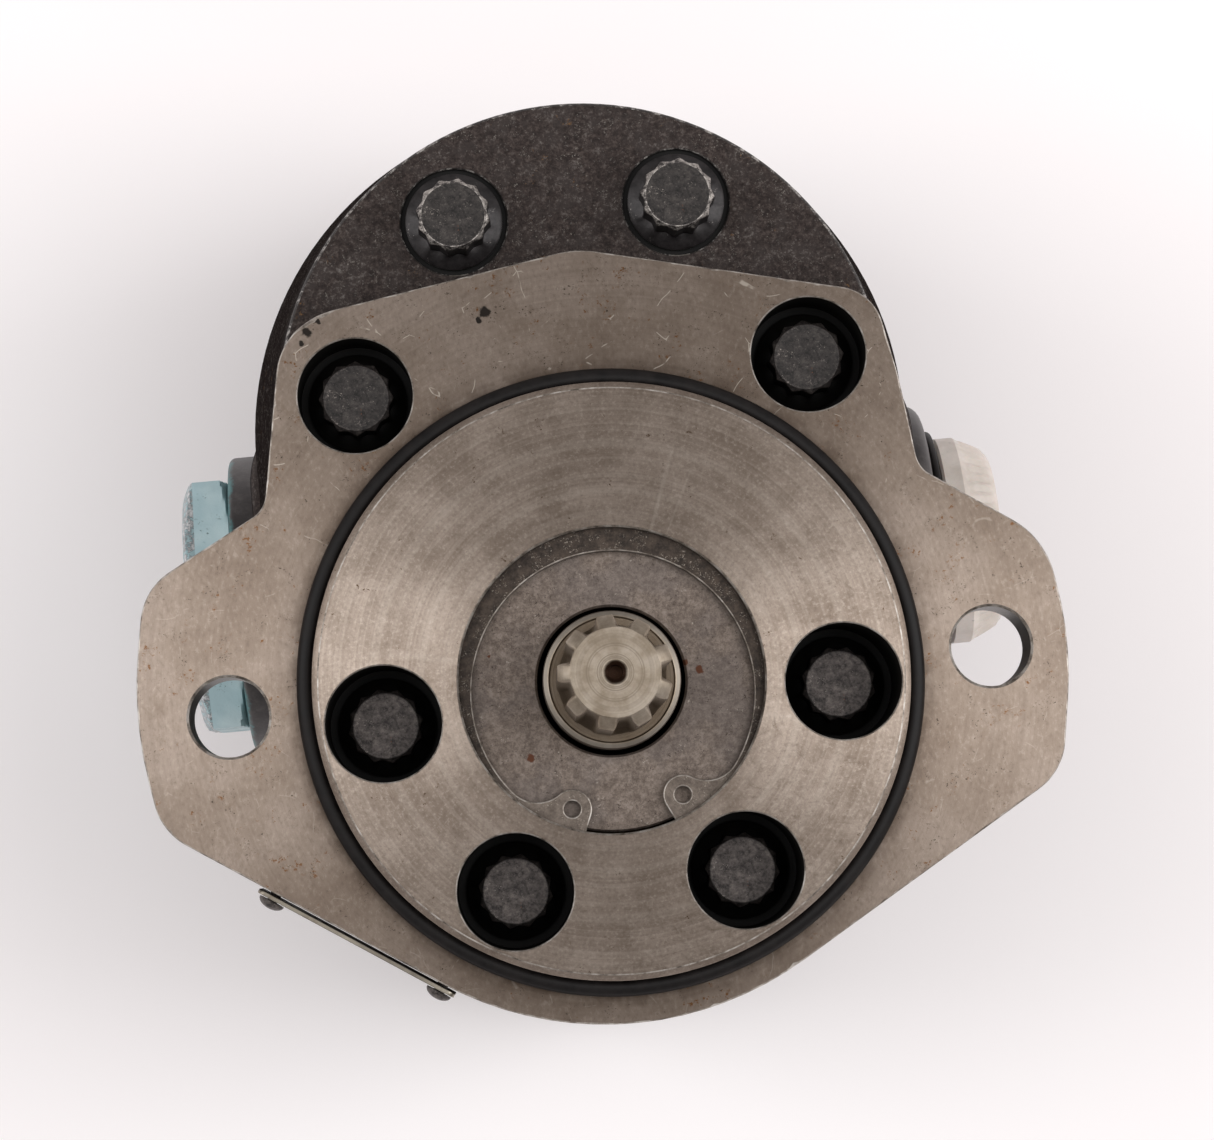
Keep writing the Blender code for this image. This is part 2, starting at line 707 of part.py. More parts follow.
def pressure_seal_outline(inset):
    """Waisted loop round both journals, drawn inwards by inset."""
    wide = 18.6 - inset / MM
    waist = 8.0 - inset / MM
    middle = CENTRE_DISTANCE / MM / 2
    shoulder = 9.5
    top = CENTRE_DISTANCE / MM + wide
    right = (
        (wide, -wide, wide),
        (wide, middle - shoulder, 4.0),
        (waist, middle, 4.0),
        (wide, middle + shoulder, 4.0),
        (wide, top, wide),
    )
    left = tuple((-x, y, radius) for x, y, radius in reversed(right))
    return [(x * MM, y * MM) for x, y in rounded(right + left, COARSE_ARC_STEP)]


def make_pressure_plates(bronze, rubber):
    """Floating end plates of the gear chamber, each with a seal on its back."""
    backs = (("rear", REAR_JOINT_Z + 2 * GAP, 1), ("front", FRONT_JOINT_Z - GAP, -1))
    for end, back, inward in backs:
        low, high = sorted((back, back + inward * (PLATE_THICKNESS - GAP)))
        bm = bmesh.new()
        prism(bm, figure_eight(CHAMBER_RADIUS - GAP), low, high)
        plate = add_piece(f"{end}_pressure_plate", bm, bronze)
        bm = bmesh.new()
        for y in (0, CENTRE_DISTANCE):
            rod(bm, JOURNAL_RADIUS + GAP, low - OVERCUT, high + OVERCUT, 0, y, MEDIUM_ROUND)
        cut(plate, f"{end}_plate_bores", bm)

        bm = bmesh.new()
        floor = back + inward * PRESSURE_GROOVE_DEPTH
        low, high = sorted((back - inward * OVERCUT, floor))
        outer = pressure_seal_outline(0)
        inner = pressure_seal_outline(PRESSURE_SEAL_WIDTH + 2 * GAP)
        ring_prism(bm, outer, inner, low, high)
        cut(plate, f"{end}_plate_groove", bm)

        bm = bmesh.new()
        low, high = sorted((back, floor - inward * GAP))
        outer = pressure_seal_outline(GAP)
        inner = pressure_seal_outline(GAP + PRESSURE_SEAL_WIDTH)
        ring_prism(bm, outer, inner, low, high)
        add_piece(f"{end}_pressure_seal", bm, rubber)


def make_section_seals(rubber):
    """Rings in the housing's two faces that seal it to the covers."""
    half = SECTION_SEAL_WIDTH / 2
    outer = stadium(SECTION_SEAL_RADIUS + half)
    inner = stadium(SECTION_SEAL_RADIUS - half)
    depth = SECTION_GROOVE_DEPTH - GAP
    lows = {"front": FRONT_JOINT_Z - depth, "rear": REAR_JOINT_Z + GAP}
    for end, low in lows.items():
        bm = bmesh.new()
        ring_prism(bm, outer, inner, low, low + depth - GAP)
        add_piece(f"{end}_section_seal", bm, rubber)


def make_dowels(steel):
    for end, joint_z in (("front", FRONT_JOINT_Z), ("rear", REAR_JOINT_Z)):
        for number, (x, y) in enumerate(DOWEL_PLACES, 1):
            bm = bmesh.new()
            half = DOWEL_LENGTH / 2 - GAP
            rod(bm, DOWEL_RADIUS, -half, half)
            add_piece(f"{end}_dowel_{number}", bm, steel, (x, y, joint_z))


def make_shaft_seal(case_steel, rubber, spring_steel):
    """Lip seal in three pieces: pressed case, moulded lip and garter spring."""
    top = FLANGE_Z + 0.2 * MM
    bottom = SEAL_BORE_FLOOR_Z + GAP
    outer = SEAL_BORE_RADIUS - GAP
    case = (
        (outer, bottom),
        (outer, top),
        (CASE_OPENING_RADIUS, top),
        (CASE_OPENING_RADIUS, top - CASE_WALL),
        (outer - CASE_WALL, top - CASE_WALL),
        (outer - CASE_WALL, bottom),
    )
    bm = bmesh.new()
    turn_profile(bm, case, MEDIUM_ROUND)
    add_piece("seal_case", bm, case_steel)

    lip_top = top - CASE_WALL - GAP
    lip_outer = outer - CASE_WALL - GAP
    lip_shape = (
        (12.2, 1.5),
        (11.4, 2.8),
        (11.4, 4.9),
        (12.2, 5.6),
        (12.2, 6.1),
        (10.6, 6.1),
        (9.825, 4.2),
        (10.9, 0.0),
    )  # radius and depth in millimetres, down the spring side and back up the shaft side
    lip = [(lip_outer, lip_top), (lip_outer, lip_top - 1.5 * MM)]
    lip += [(radius * MM, lip_top - depth * MM) for radius, depth in lip_shape]
    bm = bmesh.new()
    turn_profile(bm, lip, MEDIUM_ROUND)
    add_piece("seal_lip", bm, rubber)

    bm = bmesh.new()
    spring_z = lip_top - 3.9 * MM
    turn_profile(bm, circle(0.65 * MM, TUBE_SIDES, 12.4 * MM, spring_z), MEDIUM_ROUND)
    add_piece("garter_spring", bm, spring_steel)


def make_seal_washer(steel):
    high = RING_Z - GAP
    bm = bmesh.new()
    outer = circle(SEAL_BORE_RADIUS - GAP, ROUND)
    ring_prism(bm, outer, circle(SHAFT_HOLE_RADIUS, ROUND), high - WASHER_THICKNESS, high)
    add_piece("seal_washer", bm, steel)


def make_retaining_ring(spring_steel):
    """Internal snap ring: widest opposite its gap, with an eyed lug at each end."""
    low, high = RING_Z, RING_Z + RING_THICKNESS
    bm = bmesh.new()
    prism(bm, circle(RING_RADIUS, ROUND), low, high)
    ring = add_piece("retaining_ring", bm, spring_steel)
    ring.rotation_euler.z = RING_TURN

    below, above = low - OVERCUT, high + OVERCUT
    bm = bmesh.new()
    rod(bm, RING_INNER_RADIUS, below, above, 0, -RING_INNER_OFFSET, ROUND)
    cut(ring, "ring_inside", bm)

    bm = bmesh.new()
    corner = (-RING_GAP_HALF_WIDTH, -2 * RING_RADIUS, below)
    box(bm, corner, (RING_GAP_HALF_WIDTH, 0, above))
    cut(ring, "ring_gap", bm)

    for side, name in ((1, "right_lug"), (-1, "left_lug")):
        eye_x = side * EYE_DISTANCE * math.sin(EYE_ANGLE)
        eye_y = -EYE_DISTANCE * math.cos(EYE_ANGLE)
        bm = bmesh.new()
        prism(bm, lug_outline(eye_x, eye_y), low, high)
        join(ring, name, bm)
        bm = bmesh.new()
        rod(bm, EYE_RADIUS, below, above, eye_x, eye_y)
        cut(ring, f"{name}_eye", bm)

    for modifier in ring.modifiers:
        modifier.object.rotation_euler.z = RING_TURN


def lug_outline(eye_x, eye_y):
    """Half round on the inner side of the eye, with straight sides out to the ring."""
    outward = math.atan2(eye_y, eye_x)
    points = []
    steps = 8
    for step in range(steps + 1):
        angle = outward + math.pi / 2 + math.pi * step / steps
        x = eye_x + LUG_RADIUS * math.cos(angle)
        y = eye_y + LUG_RADIUS * math.sin(angle)
        points.append((x, y))
    spread = math.asin(LUG_RADIUS / LUG_REACH)
    for angle in (outward - spread, outward + spread):
        points.append((LUG_REACH * math.cos(angle), LUG_REACH * math.sin(angle)))
    return points


def make_pilot_o_ring(rubber):
    bm = bmesh.new()
    centre_z = FLANGE_Z + PILOT_RING_TUBE + GAP
    turn_profile(bm, circle(PILOT_RING_TUBE, TUBE_SIDES, PILOT_RING_RADIUS, centre_z))
    add_piece("pilot_o_ring", bm, rubber)


# Fasteners, plugs and name plate


def star(radius_at_point, radius_at_valley):
    points = []
    for index in range(2 * POINTS_ON_HEAD):
        radius = radius_at_valley if index % 2 else radius_at_point
        angle = math.pi * index / POINTS_ON_HEAD
        points.append((radius * math.cos(angle), radius * math.sin(angle)))
    return points


def make_cover_bolts(black_steel):
    """Twelve-point flange bolts that clamp the whole stack, from the top left round."""
    sides = 2 * POINTS_ON_HEAD
    head = star(BOLT_HEAD_POINT_RADIUS, BOLT_HEAD_VALLEY_RADIUS)
    seat = BOLT_SEAT_Z + GAP
    top = seat + BOLT_HEAD_HEIGHT
    collar_top = seat + BOLT_COLLAR_THICKNESS
    shank = circle(BOLT_RADIUS, sides)
    collar = circle(BOLT_COLLAR_RADIUS, sides)
    crown = star(BOLT_HEAD_POINT_RADIUS - HEAD_BEVEL, BOLT_HEAD_VALLEY_RADIUS - HEAD_BEVEL / 2)
    levels = (
        (shank, BOLT_END_Z),
        (shank, seat),
        (collar, seat),
        (collar, collar_top),
        (head, collar_top + HEAD_BEVEL),
        (head, top - HEAD_BEVEL),
        (crown, top),
    )
    for number, place in enumerate(bolt_places(), 1):
        bm = bmesh.new()
        loft(bm, [[(x, y, z) for x, y in outline] for outline, z in levels])
        add_piece(f"cover_bolt_{number}", bm, black_steel, (*place, 0))


def plug_levels(head_outline, head_start, head_end, crown_outline, crown_start):
    """Rings up a plug, from the end of its threaded stem to the crown of its head."""
    stem = circle(PORT_RADIUS - GAP, PLUG_SIDES)
    neck = circle(PLUG_NECK_RADIUS, PLUG_SIDES)
    low = head_start - PLUG_STEM_LENGTH
    neck_start = head_start - PLUG_NECK_LENGTH
    return (
        (neck, low),
        (stem, low + EDGE_CHAMFER),
        (stem, neck_start),
        (neck, neck_start),
        (neck, head_start),
        (head_outline, head_start),
        (head_outline, crown_start),
        (crown_outline, head_end),
    )


def hexagon(across_flats):
    """Hexagon with flats across +-Y once laid along X, with points shared along its flats."""
    points = []
    for index in range(PLUG_SIDES):
        angle = math.tau * index / PLUG_SIDES
        from_flat = math.remainder(angle - math.pi / 2, math.pi / 3)
        radius = across_flats / 2 / math.cos(from_flat)
        points.append((radius * math.cos(angle), radius * math.sin(angle)))
    return points


def make_left_port_plug(painted_steel, rubber):
    """Hexagon plug, with an O-ring in the cone of the port's mouth."""
    face_x = LEFT_BOSS[1]
    head = hexagon(HEX_PLUG_ACROSS_FLATS)
    crown = hexagon(HEX_PLUG_ACROSS_FLATS - 2 * HEX_PLUG_BEVEL)
    crown_start = HEX_PLUG_REACH - HEX_PLUG_BEVEL
    levels = plug_levels(head, face_x + GAP, HEX_PLUG_REACH, crown, crown_start)
    bm = bmesh.new()
    loft(bm, [[(x, y, z) for x, y in outline] for outline, z in levels])
    lay_along_x(bm, -1)
    add_piece("left_port_plug", bm, painted_steel, (0, PORT_Y, PORT_Z))

    bm = bmesh.new()
    middle_radius = PLUG_NECK_RADIUS + GAP + PLUG_RING_TUBE
    middle_x = face_x - PLUG_RING_TUBE - GAP
    turn_profile(bm, circle(PLUG_RING_TUBE, TUBE_SIDES, middle_radius, middle_x), MEDIUM_ROUND)
    lay_along_x(bm, -1)
    add_piece("left_plug_o_ring", bm, rubber, (0, PORT_Y, PORT_Z))


def make_right_port_plug(plastic, rubber):
    """Round plug with a coned end, on a flat gasket."""
    gasket_start = RIGHT_BOSS[1] + GAP
    head_start = gasket_start + GASKET_THICKNESS + GAP
    head = circle(RIBBED_PLUG_RADIUS, PLUG_SIDES)
    crown = circle(RIBBED_PLUG_CROWN_RADIUS, PLUG_SIDES)
    crown_start = RIBBED_PLUG_REACH - RIBBED_PLUG_CONE
    levels = plug_levels(head, head_start, RIBBED_PLUG_REACH, crown, crown_start)
    bm = bmesh.new()
    loft(bm, [[(x, y, z) for x, y in outline] for outline, z in levels])
    lay_along_x(bm, 1)
    add_piece("right_port_plug", bm, plastic, (0, PORT_Y, PORT_Z))

    bm = bmesh.new()
    outer = circle(GASKET_RADIUS, MEDIUM_ROUND)
    inner = circle(PORT_RADIUS + GAP, MEDIUM_ROUND)
    ring_prism(bm, outer, inner, gasket_start, gasket_start + GASKET_THICKNESS)
    lay_along_x(bm, 1)
    add_piece("right_plug_gasket", bm, rubber, (0, PORT_Y, PORT_Z))


def plate_length():
    return math.hypot(PLATE_END[0] - PLATE_START[0], PLATE_END[1] - PLATE_START[1])


def on_plate_side(bm):
    """Moves a solid drawn on the XY plane, +Z outwards, to the side that carries the plate.

    Its X runs along the side from the upper end and its Y runs up the shaft.
    """
    x = (PLATE_END[0] - PLATE_START[0]) / plate_length()
    y = (PLATE_END[1] - PLATE_START[1]) / plate_length()
    move = Matrix(((x, 0, y, 0), (y, 0, -x, 0), (0, 1, 0, 0), (0, 0, 0, 1)))
    move.translation = (*PLATE_START, FLANGE_Z - FLANGE_THICKNESS / 2)
    bmesh.ops.transform(bm, matrix=move, verts=bm.verts)


def rivet_stations():
    return RIVET_INSET, plate_length() - RIVET_INSET


def rivet_holes():
    bm = bmesh.new()
    for station in rivet_stations():
        depth = RIVET_SHANK_LENGTH + 0.5 * MM
        rod(bm, RIVET_SHANK_RADIUS + GAP, -depth, OVERCUT, station)
    on_plate_side(bm)
    return bm


def make_name_plate(aluminium):
    bm = bmesh.new()
    half = PLATE_HEIGHT / 2
    box(bm, (0, -half, GAP), (plate_length(), half, GAP + PLATE_SHEET))
    on_plate_side(bm)
    plate = add_piece("name_plate", bm, aluminium)
    cut(plate, "plate_rivet_holes", rivet_holes())


def make_rivets(steel):
    seat = 2 * GAP + PLATE_SHEET
    end = -RIVET_SHANK_LENGTH
    for number, station in enumerate(rivet_stations(), 1):
        profile = [(0, end), (RIVET_SHANK_RADIUS, end), (RIVET_SHANK_RADIUS, seat)]
        for angle in (0, math.pi / 6, math.pi / 3):
            radius = RIVET_HEAD_RADIUS * math.cos(angle)
            profile.append((radius, seat + RIVET_HEAD_HEIGHT * math.sin(angle)))
        profile.append((0, seat + RIVET_HEAD_HEIGHT))
        bm = bmesh.new()
        turn_profile(bm, profile, SMALL_ROUND)
        bmesh.ops.translate(bm, verts=bm.verts, vec=(station, 0, 0))
        on_plate_side(bm)
        add_piece(f"plate_rivet_{number}", bm, steel)


def main():
    clear_scene()
    iron = finish("black_cast_iron", (0.035, 0.033, 0.034), 0.6, 0.3)
    machined_iron = finish("machined_cast_iron", (0.36, 0.33, 0.30), 0.42, 0.9)
    shaft_steel = finish("shaft_steel", (0.45, 0.42, 0.36), 0.32, 1.0)
    bronze = finish("bearing_bronze", (0.55, 0.38, 0.18), 0.4, 1.0)
    black_steel = finish("black_bolt_steel", (0.06, 0.055, 0.055), 0.45, 0.8)
    washer_steel = finish("seal_washer_steel", (0.30, 0.30, 0.30), 0.5, 0.9)
    spring_steel = finish("spring_steel", (0.12, 0.12, 0.12), 0.4, 0.9)
    rubber = finish("black_rubber", (0.02, 0.02, 0.02), 0.55, 0.0)
    painted_steel = finish("teal_paint", (0.30, 0.52, 0.53), 0.5, 0.0)
    plastic = finish("ivory_plastic", (0.62, 0.59, 0.52), 0.45, 0.0)
    aluminium = finish("plate_aluminium", (0.72, 0.70, 0.66), 0.35, 1.0)

    make_front_cover(machined_iron)
    make_gear_housing(iron)
    make_rear_cover(iron)
    make_drive_gear_shaft(shaft_steel)
    make_idler_gear_shaft(shaft_steel)
    make_bushings(bronze)
    make_pressure_plates(bronze, rubber)
    make_section_seals(rubber)
    make_dowels(shaft_steel)
    make_shaft_seal(washer_steel, rubber, spring_steel)
    make_seal_washer(washer_steel)
    make_retaining_ring(spring_steel)
    make_pilot_o_ring(rubber)
    make_cover_bolts(black_steel)
    make_left_port_plug(painted_steel, rubber)
    make_right_port_plug(plastic, rubber)
    make_name_plate(aluminium)
    make_rivets(shaft_steel)


main()
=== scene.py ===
"""Looks of the hydraulic gear motor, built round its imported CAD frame.

Pieces are drawn in millimetres in the frame's own axes, and piece() turns them into metres.
Each visible CAD node gets a finer mesh in its place; the inner ones keep theirs.
"""

import math

import bmesh
import bpy
from mathutils import Matrix, Vector, noise


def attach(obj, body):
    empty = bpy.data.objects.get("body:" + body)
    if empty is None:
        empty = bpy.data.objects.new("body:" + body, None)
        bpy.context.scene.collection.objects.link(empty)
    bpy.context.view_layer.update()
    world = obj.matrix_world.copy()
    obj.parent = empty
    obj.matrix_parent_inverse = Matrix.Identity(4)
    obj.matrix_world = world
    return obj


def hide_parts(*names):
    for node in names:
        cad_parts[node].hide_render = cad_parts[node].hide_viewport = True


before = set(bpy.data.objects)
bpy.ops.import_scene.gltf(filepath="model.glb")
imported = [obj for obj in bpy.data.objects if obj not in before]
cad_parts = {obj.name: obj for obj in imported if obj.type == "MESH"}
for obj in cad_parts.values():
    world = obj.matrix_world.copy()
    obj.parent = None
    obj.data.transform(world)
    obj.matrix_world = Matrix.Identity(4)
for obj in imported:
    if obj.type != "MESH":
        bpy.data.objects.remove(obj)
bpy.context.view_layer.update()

MM = 0.001
GAP = 0.3
OVERCUT = 5.0
FINE = 128
MEDIUM = 72

REAR_JOINT_Z = 26.2
FRONT_JOINT_Z = 77.0
FLANGE_Z = 128.0
DECK_Z = 117.3
FLANGE_BACK_Z = DECK_Z - 0.4
FLARE_Z = 79.0
PILOT_Z = 134.35
SHAFT_END_Z = 159.7

CENTRE_DISTANCE = 39.9
DECK_RADIUS = 43.3
BODY_RADIUS = 48.9
PILOT_RADIUS = 41.275
PILOT_GROOVE_RADIUS = 40.6
PILOT_SHOULDER_Z = FLANGE_Z + 3.3
PILOT_SIDES = 192
O_RING_RADIUS = 42.25
O_RING_TUBE = 1.31
# Corners (x, y, rounding radius), anticlockwise
FLANGE_CORNERS = (
    (-2.5, -55.9, 47.4),
    (61.5, -18.3, 9.0),
    (64.6, 0.0, 50.0),
    (62.1, 14.5, 12.0),
    (45.6, 25.8, 4.0),
    (44.1, 38.5, 40.0),
    (41.7, 51.0, 7.0),
    (0.8, 60.8, 14.0),
    (-41.2, 54.1, 10.0),
    (-45.8, 28.3, 4.0),
    (-63.5, 18.9, 9.0),
    (-66.6, 1.0, 55.0),
    (-63.9, -15.0, 9.0),
)
FLANGE_FILLET = 1.7
KNOCKED_CORNER = (-36.5, 54.2)
EAR_HOLE_X = 53.19
EAR_HOLE_RADIUS = 5.556

BOLT_ARC_RADIUS = 31.93
BOLT_ANGLES = (-5.6, -60.2)
# In the order of bolt_places(): two on the deck, two in the flange, four in the pilot
BOLT_FACES = (DECK_Z, DECK_Z, FLANGE_Z, FLANGE_Z, PILOT_Z, PILOT_Z, PILOT_Z, PILOT_Z)
BOLT_RADIUS = 3.97
BOLT_SEAT_Z = DECK_Z - 1.0
BOLT_HEIGHT = 8.0
BOLT_POINT_RADIUS = 5.3
BOLT_COLLAR_RADIUS = 6.9
CROWN_RADIUS = 4.6
CROWN_CONE_SLOPE = 0.85
COUNTERBORE_RADIUS = 8.05
SPOT_FACE_RADIUS = 7.6
DOWEL_PLACES = ((-38.5, 10.0), (38.5, 30.0))
DOWEL_HOLE_RADIUS = 3.3
DOWEL_HOLE_DEPTH = 6.5

TEETH = 12
PRESSURE_ANGLE = math.radians(26)
BACKLASH = 0.36
PLATE_THICKNESS = 8.0
PITCH_RADIUS = CENTRE_DISTANCE / 2
TIP_RADIUS = PITCH_RADIUS * (1 + 2 / TEETH)
JOURNAL_RADIUS = 11.0
SEAL_JOURNAL_RADIUS = 9.525
BUSHING_LENGTH = 22.0
BEARING_BORE_RADIUS = 13.9
SHOULDER_Z = 135.0
SPLINE_TEETH = 9
SPLINE_PHASE = math.radians(95.5)
SPLINE_TIP_RADIUS = 7.72
SPLINE_ROOT_RADIUS = 6.1
SPLINE_RUN_OUT = 6.5

SEAL_BORE_RADIUS = 21.1
SEAL_BORE_FLOOR_Z = 118.2
SEAL_BORE_SIDES = 160
SHAFT_HOLE_RADIUS = 10.3
WASHER_THICKNESS = 1.9
RING_Z = 130.75
RING_THICKNESS = 1.6
RING_GROOVE_RADIUS = 22.3
RING_OUTER_RADIUS = RING_GROOVE_RADIUS - GAP
RING_INNER_RADIUS = 19.5
RING_INNER_CENTRE = Vector((0, -1.6))
RING_EYE_RADIUS = 2.75
RING_EYE_HOLE_RADIUS = 1.15
RING_FILLET = 4.6
RING_EYE = Vector((math.sin(math.radians(24.5)), -math.cos(math.radians(24.5)))) * 18.55
RING_TURN = math.radians(2.2)

PORT_Z = (REAR_JOINT_Z + FRONT_JOINT_Z) / 2
PORT_RADIUS = 13.5
# Radius and end of each port boss
RIGHT_BOSS = (21.7, 53.5)
LEFT_BOSS = (23.2, 54.4)
PAD_HALF_WIDTH = 50.4
THREAD_PITCH = 1.58
HEXAGON_FLATS = 38.1
HEXAGON_END = 62.0
RIBBED_PLUG_END = 63.7
RIBS = 48
GASKET_THICKNESS = 1.2
PLATE_START = Vector((-51.0, -23.7))
PLATE_END = Vector((-25.3, -40.8))
PLATE_HALF_HEIGHT = 4.7
PLATE_SHEET = 0.6
RIVET_INSET = 2.2

CROWN_TONES = ((0.038, 0.031, 0.029), (0.085, 0.071, 0.066), (0.18, 0.155, 0.14))
# Painted glints, pale streaks laid into the pilot's colour along its radii: direction, half width as a
# tangent, strength
PAINTED_GLINTS = (
    (0.342, 0.940, 0.016, 0.34),
    (0.438, 0.899, 0.010, 0.20),
    (-0.978, 0.208, 0.030, 0.14),
    (0.951, -0.309, 0.035, 0.12),
    (-0.454, -0.891, 0.018, 0.12),
)

FOCAL_LENGTH = 128.69
CAMERA_PLACE = (-0.013794, -0.022619, 0.73048)
CAMERA_TURN = (0.063221, -0.024357, -0.092659)
LAMP_SIZE = (0.6, 1.65)
LAMP_TARGET = Vector((0, 0.01, 0.08))
LAMPS = (
    ("left_softbox", (-0.85, 0.20, 1.0), 7.1),
    ("right_softbox", (0.85, 0.02, 1.0), 10.6),
)
WORLD_COLOUR = (1.0, 0.975, 0.97, 1)
WORLD_STRENGTH = 0.50


# Outlines


def spread(start, end, steps):
    """Evenly spaced values from start to end, both included."""
    return [start + (end - start) * step / steps for step in range(steps + 1)]


def arc(radius, angles, x=0.0, y=0.0):
    return [(x + radius * math.cos(angle), y + radius * math.sin(angle)) for angle in angles]


def at(radius, angle):
    return radius * math.cos(angle), radius * math.sin(angle)


def circle(radius, sides=FINE, x=0.0, y=0.0):
    return arc(radius, spread(0, math.tau, sides)[:-1], x, y)


def quarter(radius, z, size, start, end, steps=5):
    """Points (radius, z) along part of a rounded corner, between two angles in degrees."""
    return arc(size, map(math.radians, spread(start, end, steps)), radius, z)


def polar(radius_at, sides):
    """Outline whose radius is a function of the angle."""
    return [at(radius_at(angle), angle) for angle in spread(0, math.tau, sides)[:-1]]


def stadium(radius):
    """Outline at one distance round the line between the two gear axes."""
    half = FINE // 2
    lower = spread(math.pi, math.tau, half)
    return arc(radius, lower) + arc(radius, spread(0, math.pi, half), 0, CENTRE_DISTANCE)


def figure_eight(radius):
    """Outline of two overlapping circles round the two gear axes."""
    waist = math.asin(PITCH_RADIUS / radius)
    steps = FINE * 5 // 8
    lower = spread(math.pi - waist, math.tau + waist, steps)[:-1]
    upper = spread(-waist, math.pi + waist, steps)[:-1]
    return arc(radius, lower) + arc(radius, upper, 0, CENTRE_DISTANCE)


def rounded(corners, arc_step=math.radians(4)):
    """Points of a polygon whose corners (x, y, radius) are rounded off."""
    points = []
    for index, (x, y, radius) in enumerate(corners):
        before = corners[index - 1]
        after = corners[(index + 1) % len(corners)]
        heading_in = math.atan2(y - before[1], x - before[0])
        heading_out = math.atan2(after[1] - y, after[0] - x)
        turn = math.remainder(heading_out - heading_in, math.tau)
        bulge = math.copysign(radius, turn)
        reach = radius * math.tan(abs(turn) / 2)
        centre_x = x - reach * math.cos(heading_in) - bulge * math.sin(heading_in)
        centre_y = y - reach * math.sin(heading_in) + bulge * math.cos(heading_in)
        for angle in spread(heading_in, heading_in + turn, max(2, math.ceil(abs(turn) / arc_step))):
            points.append((centre_x + bulge * math.sin(angle), centre_y - bulge * math.cos(angle)))
    return points


def resampled(points, spacing):
    """The same closed outline with a point about every spacing."""
    result = []
    for start, end in zip(points, points[1:] + points[:1]):
        steps = max(1, round(math.dist(start, end) / spacing))
        result += zip(spread(start[0], end[0], steps)[:-1], spread(start[1], end[1], steps)[:-1])
    return result


def offset(points, distance):
    """Moves an anticlockwise outline outwards, by one distance or by a list of one per point."""
    distances = distance if isinstance(distance, list) else [distance] * len(points)
    moved = []
    for index, ((x, y), outwards) in enumerate(zip(points, distances)):
        before = points[index - 1]
        after = points[(index + 1) % len(points)]
        direction = Vector((after[1] - before[1], before[0] - after[0])).normalized()
        moved.append((x + direction.x * outwards, y + direction.y * outwards))
    return moved


# Solids: each call adds to bm, or starts a new one


def loft(rings, closed=False, bm=None):
    """Solid through rings of equally many points, capped at both ends or closed into a tube."""
    if bm is None:
        bm = bmesh.new()
    loops = [[bm.verts.new(point) for point in ring] for ring in rings]
    for lower, upper in zip(loops, loops[1:] + loops[:1] if closed else loops[1:]):
        for index, vertex in enumerate(lower):
            following = (index + 1) % len(lower)
            bm.faces.new((vertex, lower[following], upper[following], upper[index]))
    if not closed:
        bm.faces.new(reversed(loops[0]))
        bm.faces.new(loops[-1])
    return bm


def stack(levels, closed=False, bm=None):
    """Lofts through levels of (outline, z)."""
    return loft([[(x, y, z) for x, y in outline] for outline, z in levels], closed, bm)


def prism(outline, low, high, bm=None):
    return stack([(outline, low), (outline, high)], bm=bm)


def edged_stadium(profile):
    """Stadium whose radius follows a profile of (radius, z) points."""
    return stack([(stadium(radius), z) for radius, z in profile])


def turned(profile, sides=FINE, place=(0.0, 0.0), closed=False, bm=None):
    """Solid of revolution from (radius, z) points, round the vertical line through a place."""
    return stack([(circle(radius, sides, *place), z) for radius, z in profile], closed, bm)


def barrel(radius, low, high):
    """The two profile points of a straight length."""
    return [(radius, low), (radius, high)]


def lay_along_x(bm, direction, first=0):
    """Turns what is drawn up the Z axis, from vertex number first on, to +X or -X on the port axis."""
    bm.verts.ensure_lookup_table()
    verts = bm.verts[first:]
    bmesh.ops.rotate(bm, verts=verts, matrix=Matrix.Rotation(direction * math.pi / 2, 3, "Y"))
    bmesh.ops.translate(bm, verts=verts, vec=(0, PITCH_RADIUS, PORT_Z))
    return bm


def work_object(bm):
    bmesh.ops.remove_doubles(bm, verts=bm.verts, dist=1e-4)
    bmesh.ops.recalc_face_normals(bm, faces=bm.faces)
    mesh = bpy.data.meshes.new("work")
    bm.to_mesh(mesh)
    bm.free()
    obj = bpy.data.objects.new("work", mesh)
    bpy.context.scene.collection.objects.link(obj)
    return obj


def taken_back(obj):
    """The solid of a working object as a bmesh again, in place of the object."""
    bm = bmesh.new()
    bm.from_mesh(obj.data)
    bpy.data.objects.remove(obj)
    return bm


def apply_modifiers(obj):
    bpy.context.view_layer.update()
    evaluated = obj.evaluated_get(bpy.context.evaluated_depsgraph_get())
    mesh = bpy.data.meshes.new_from_object(evaluated)
    obj.modifiers.clear()
    obj.data = mesh


def combine(target, bm, operation):
    """Applies a Boolean of target with the solids in bm, which don't overlap one another."""
    tool = work_object(bm)
    modifier = target.modifiers.new("combine", "BOOLEAN")
    modifier.operation = operation
    modifier.solver = "EXACT"
    modifier.object = tool
    apply_modifiers(target)
    bpy.data.objects.remove(tool)


def bevel(obj, width):
    modifier = obj.modifiers.new("bevel", "BEVEL")
    modifier.width = width
    modifier.segments = 2
    modifier.limit_method = "ANGLE"
    modifier.angle_limit = math.radians(40)
    modifier.use_clamp_overlap = True
    apply_modifiers(obj)


def piece(obj, name, nodes, materials, rule=None, place=(0, 0, 0), body="housing"):
    """Finishes a working solid, drawn in millimetres, as a shown piece that stands for CAD nodes."""
    obj.name = name
    mesh = obj.data
    mesh.name = name
    mesh.transform(Matrix.Scale(MM, 4))
    mesh.shade_smooth()
    mesh.set_sharp_from_angle(angle=math.radians(32))
    mesh.materials.clear()
    for material in materials:
        mesh.materials.append(material)
    for polygon in mesh.polygons:
        polygon.material_index = rule(polygon.center / MM, polygon.normal) if rule else 0
        if abs(polygon.normal.z) > 0.9999:
            polygon.use_smooth = False
    obj.location = Vector(place) * MM
    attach(obj, body)
    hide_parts(*nodes)


# Materials


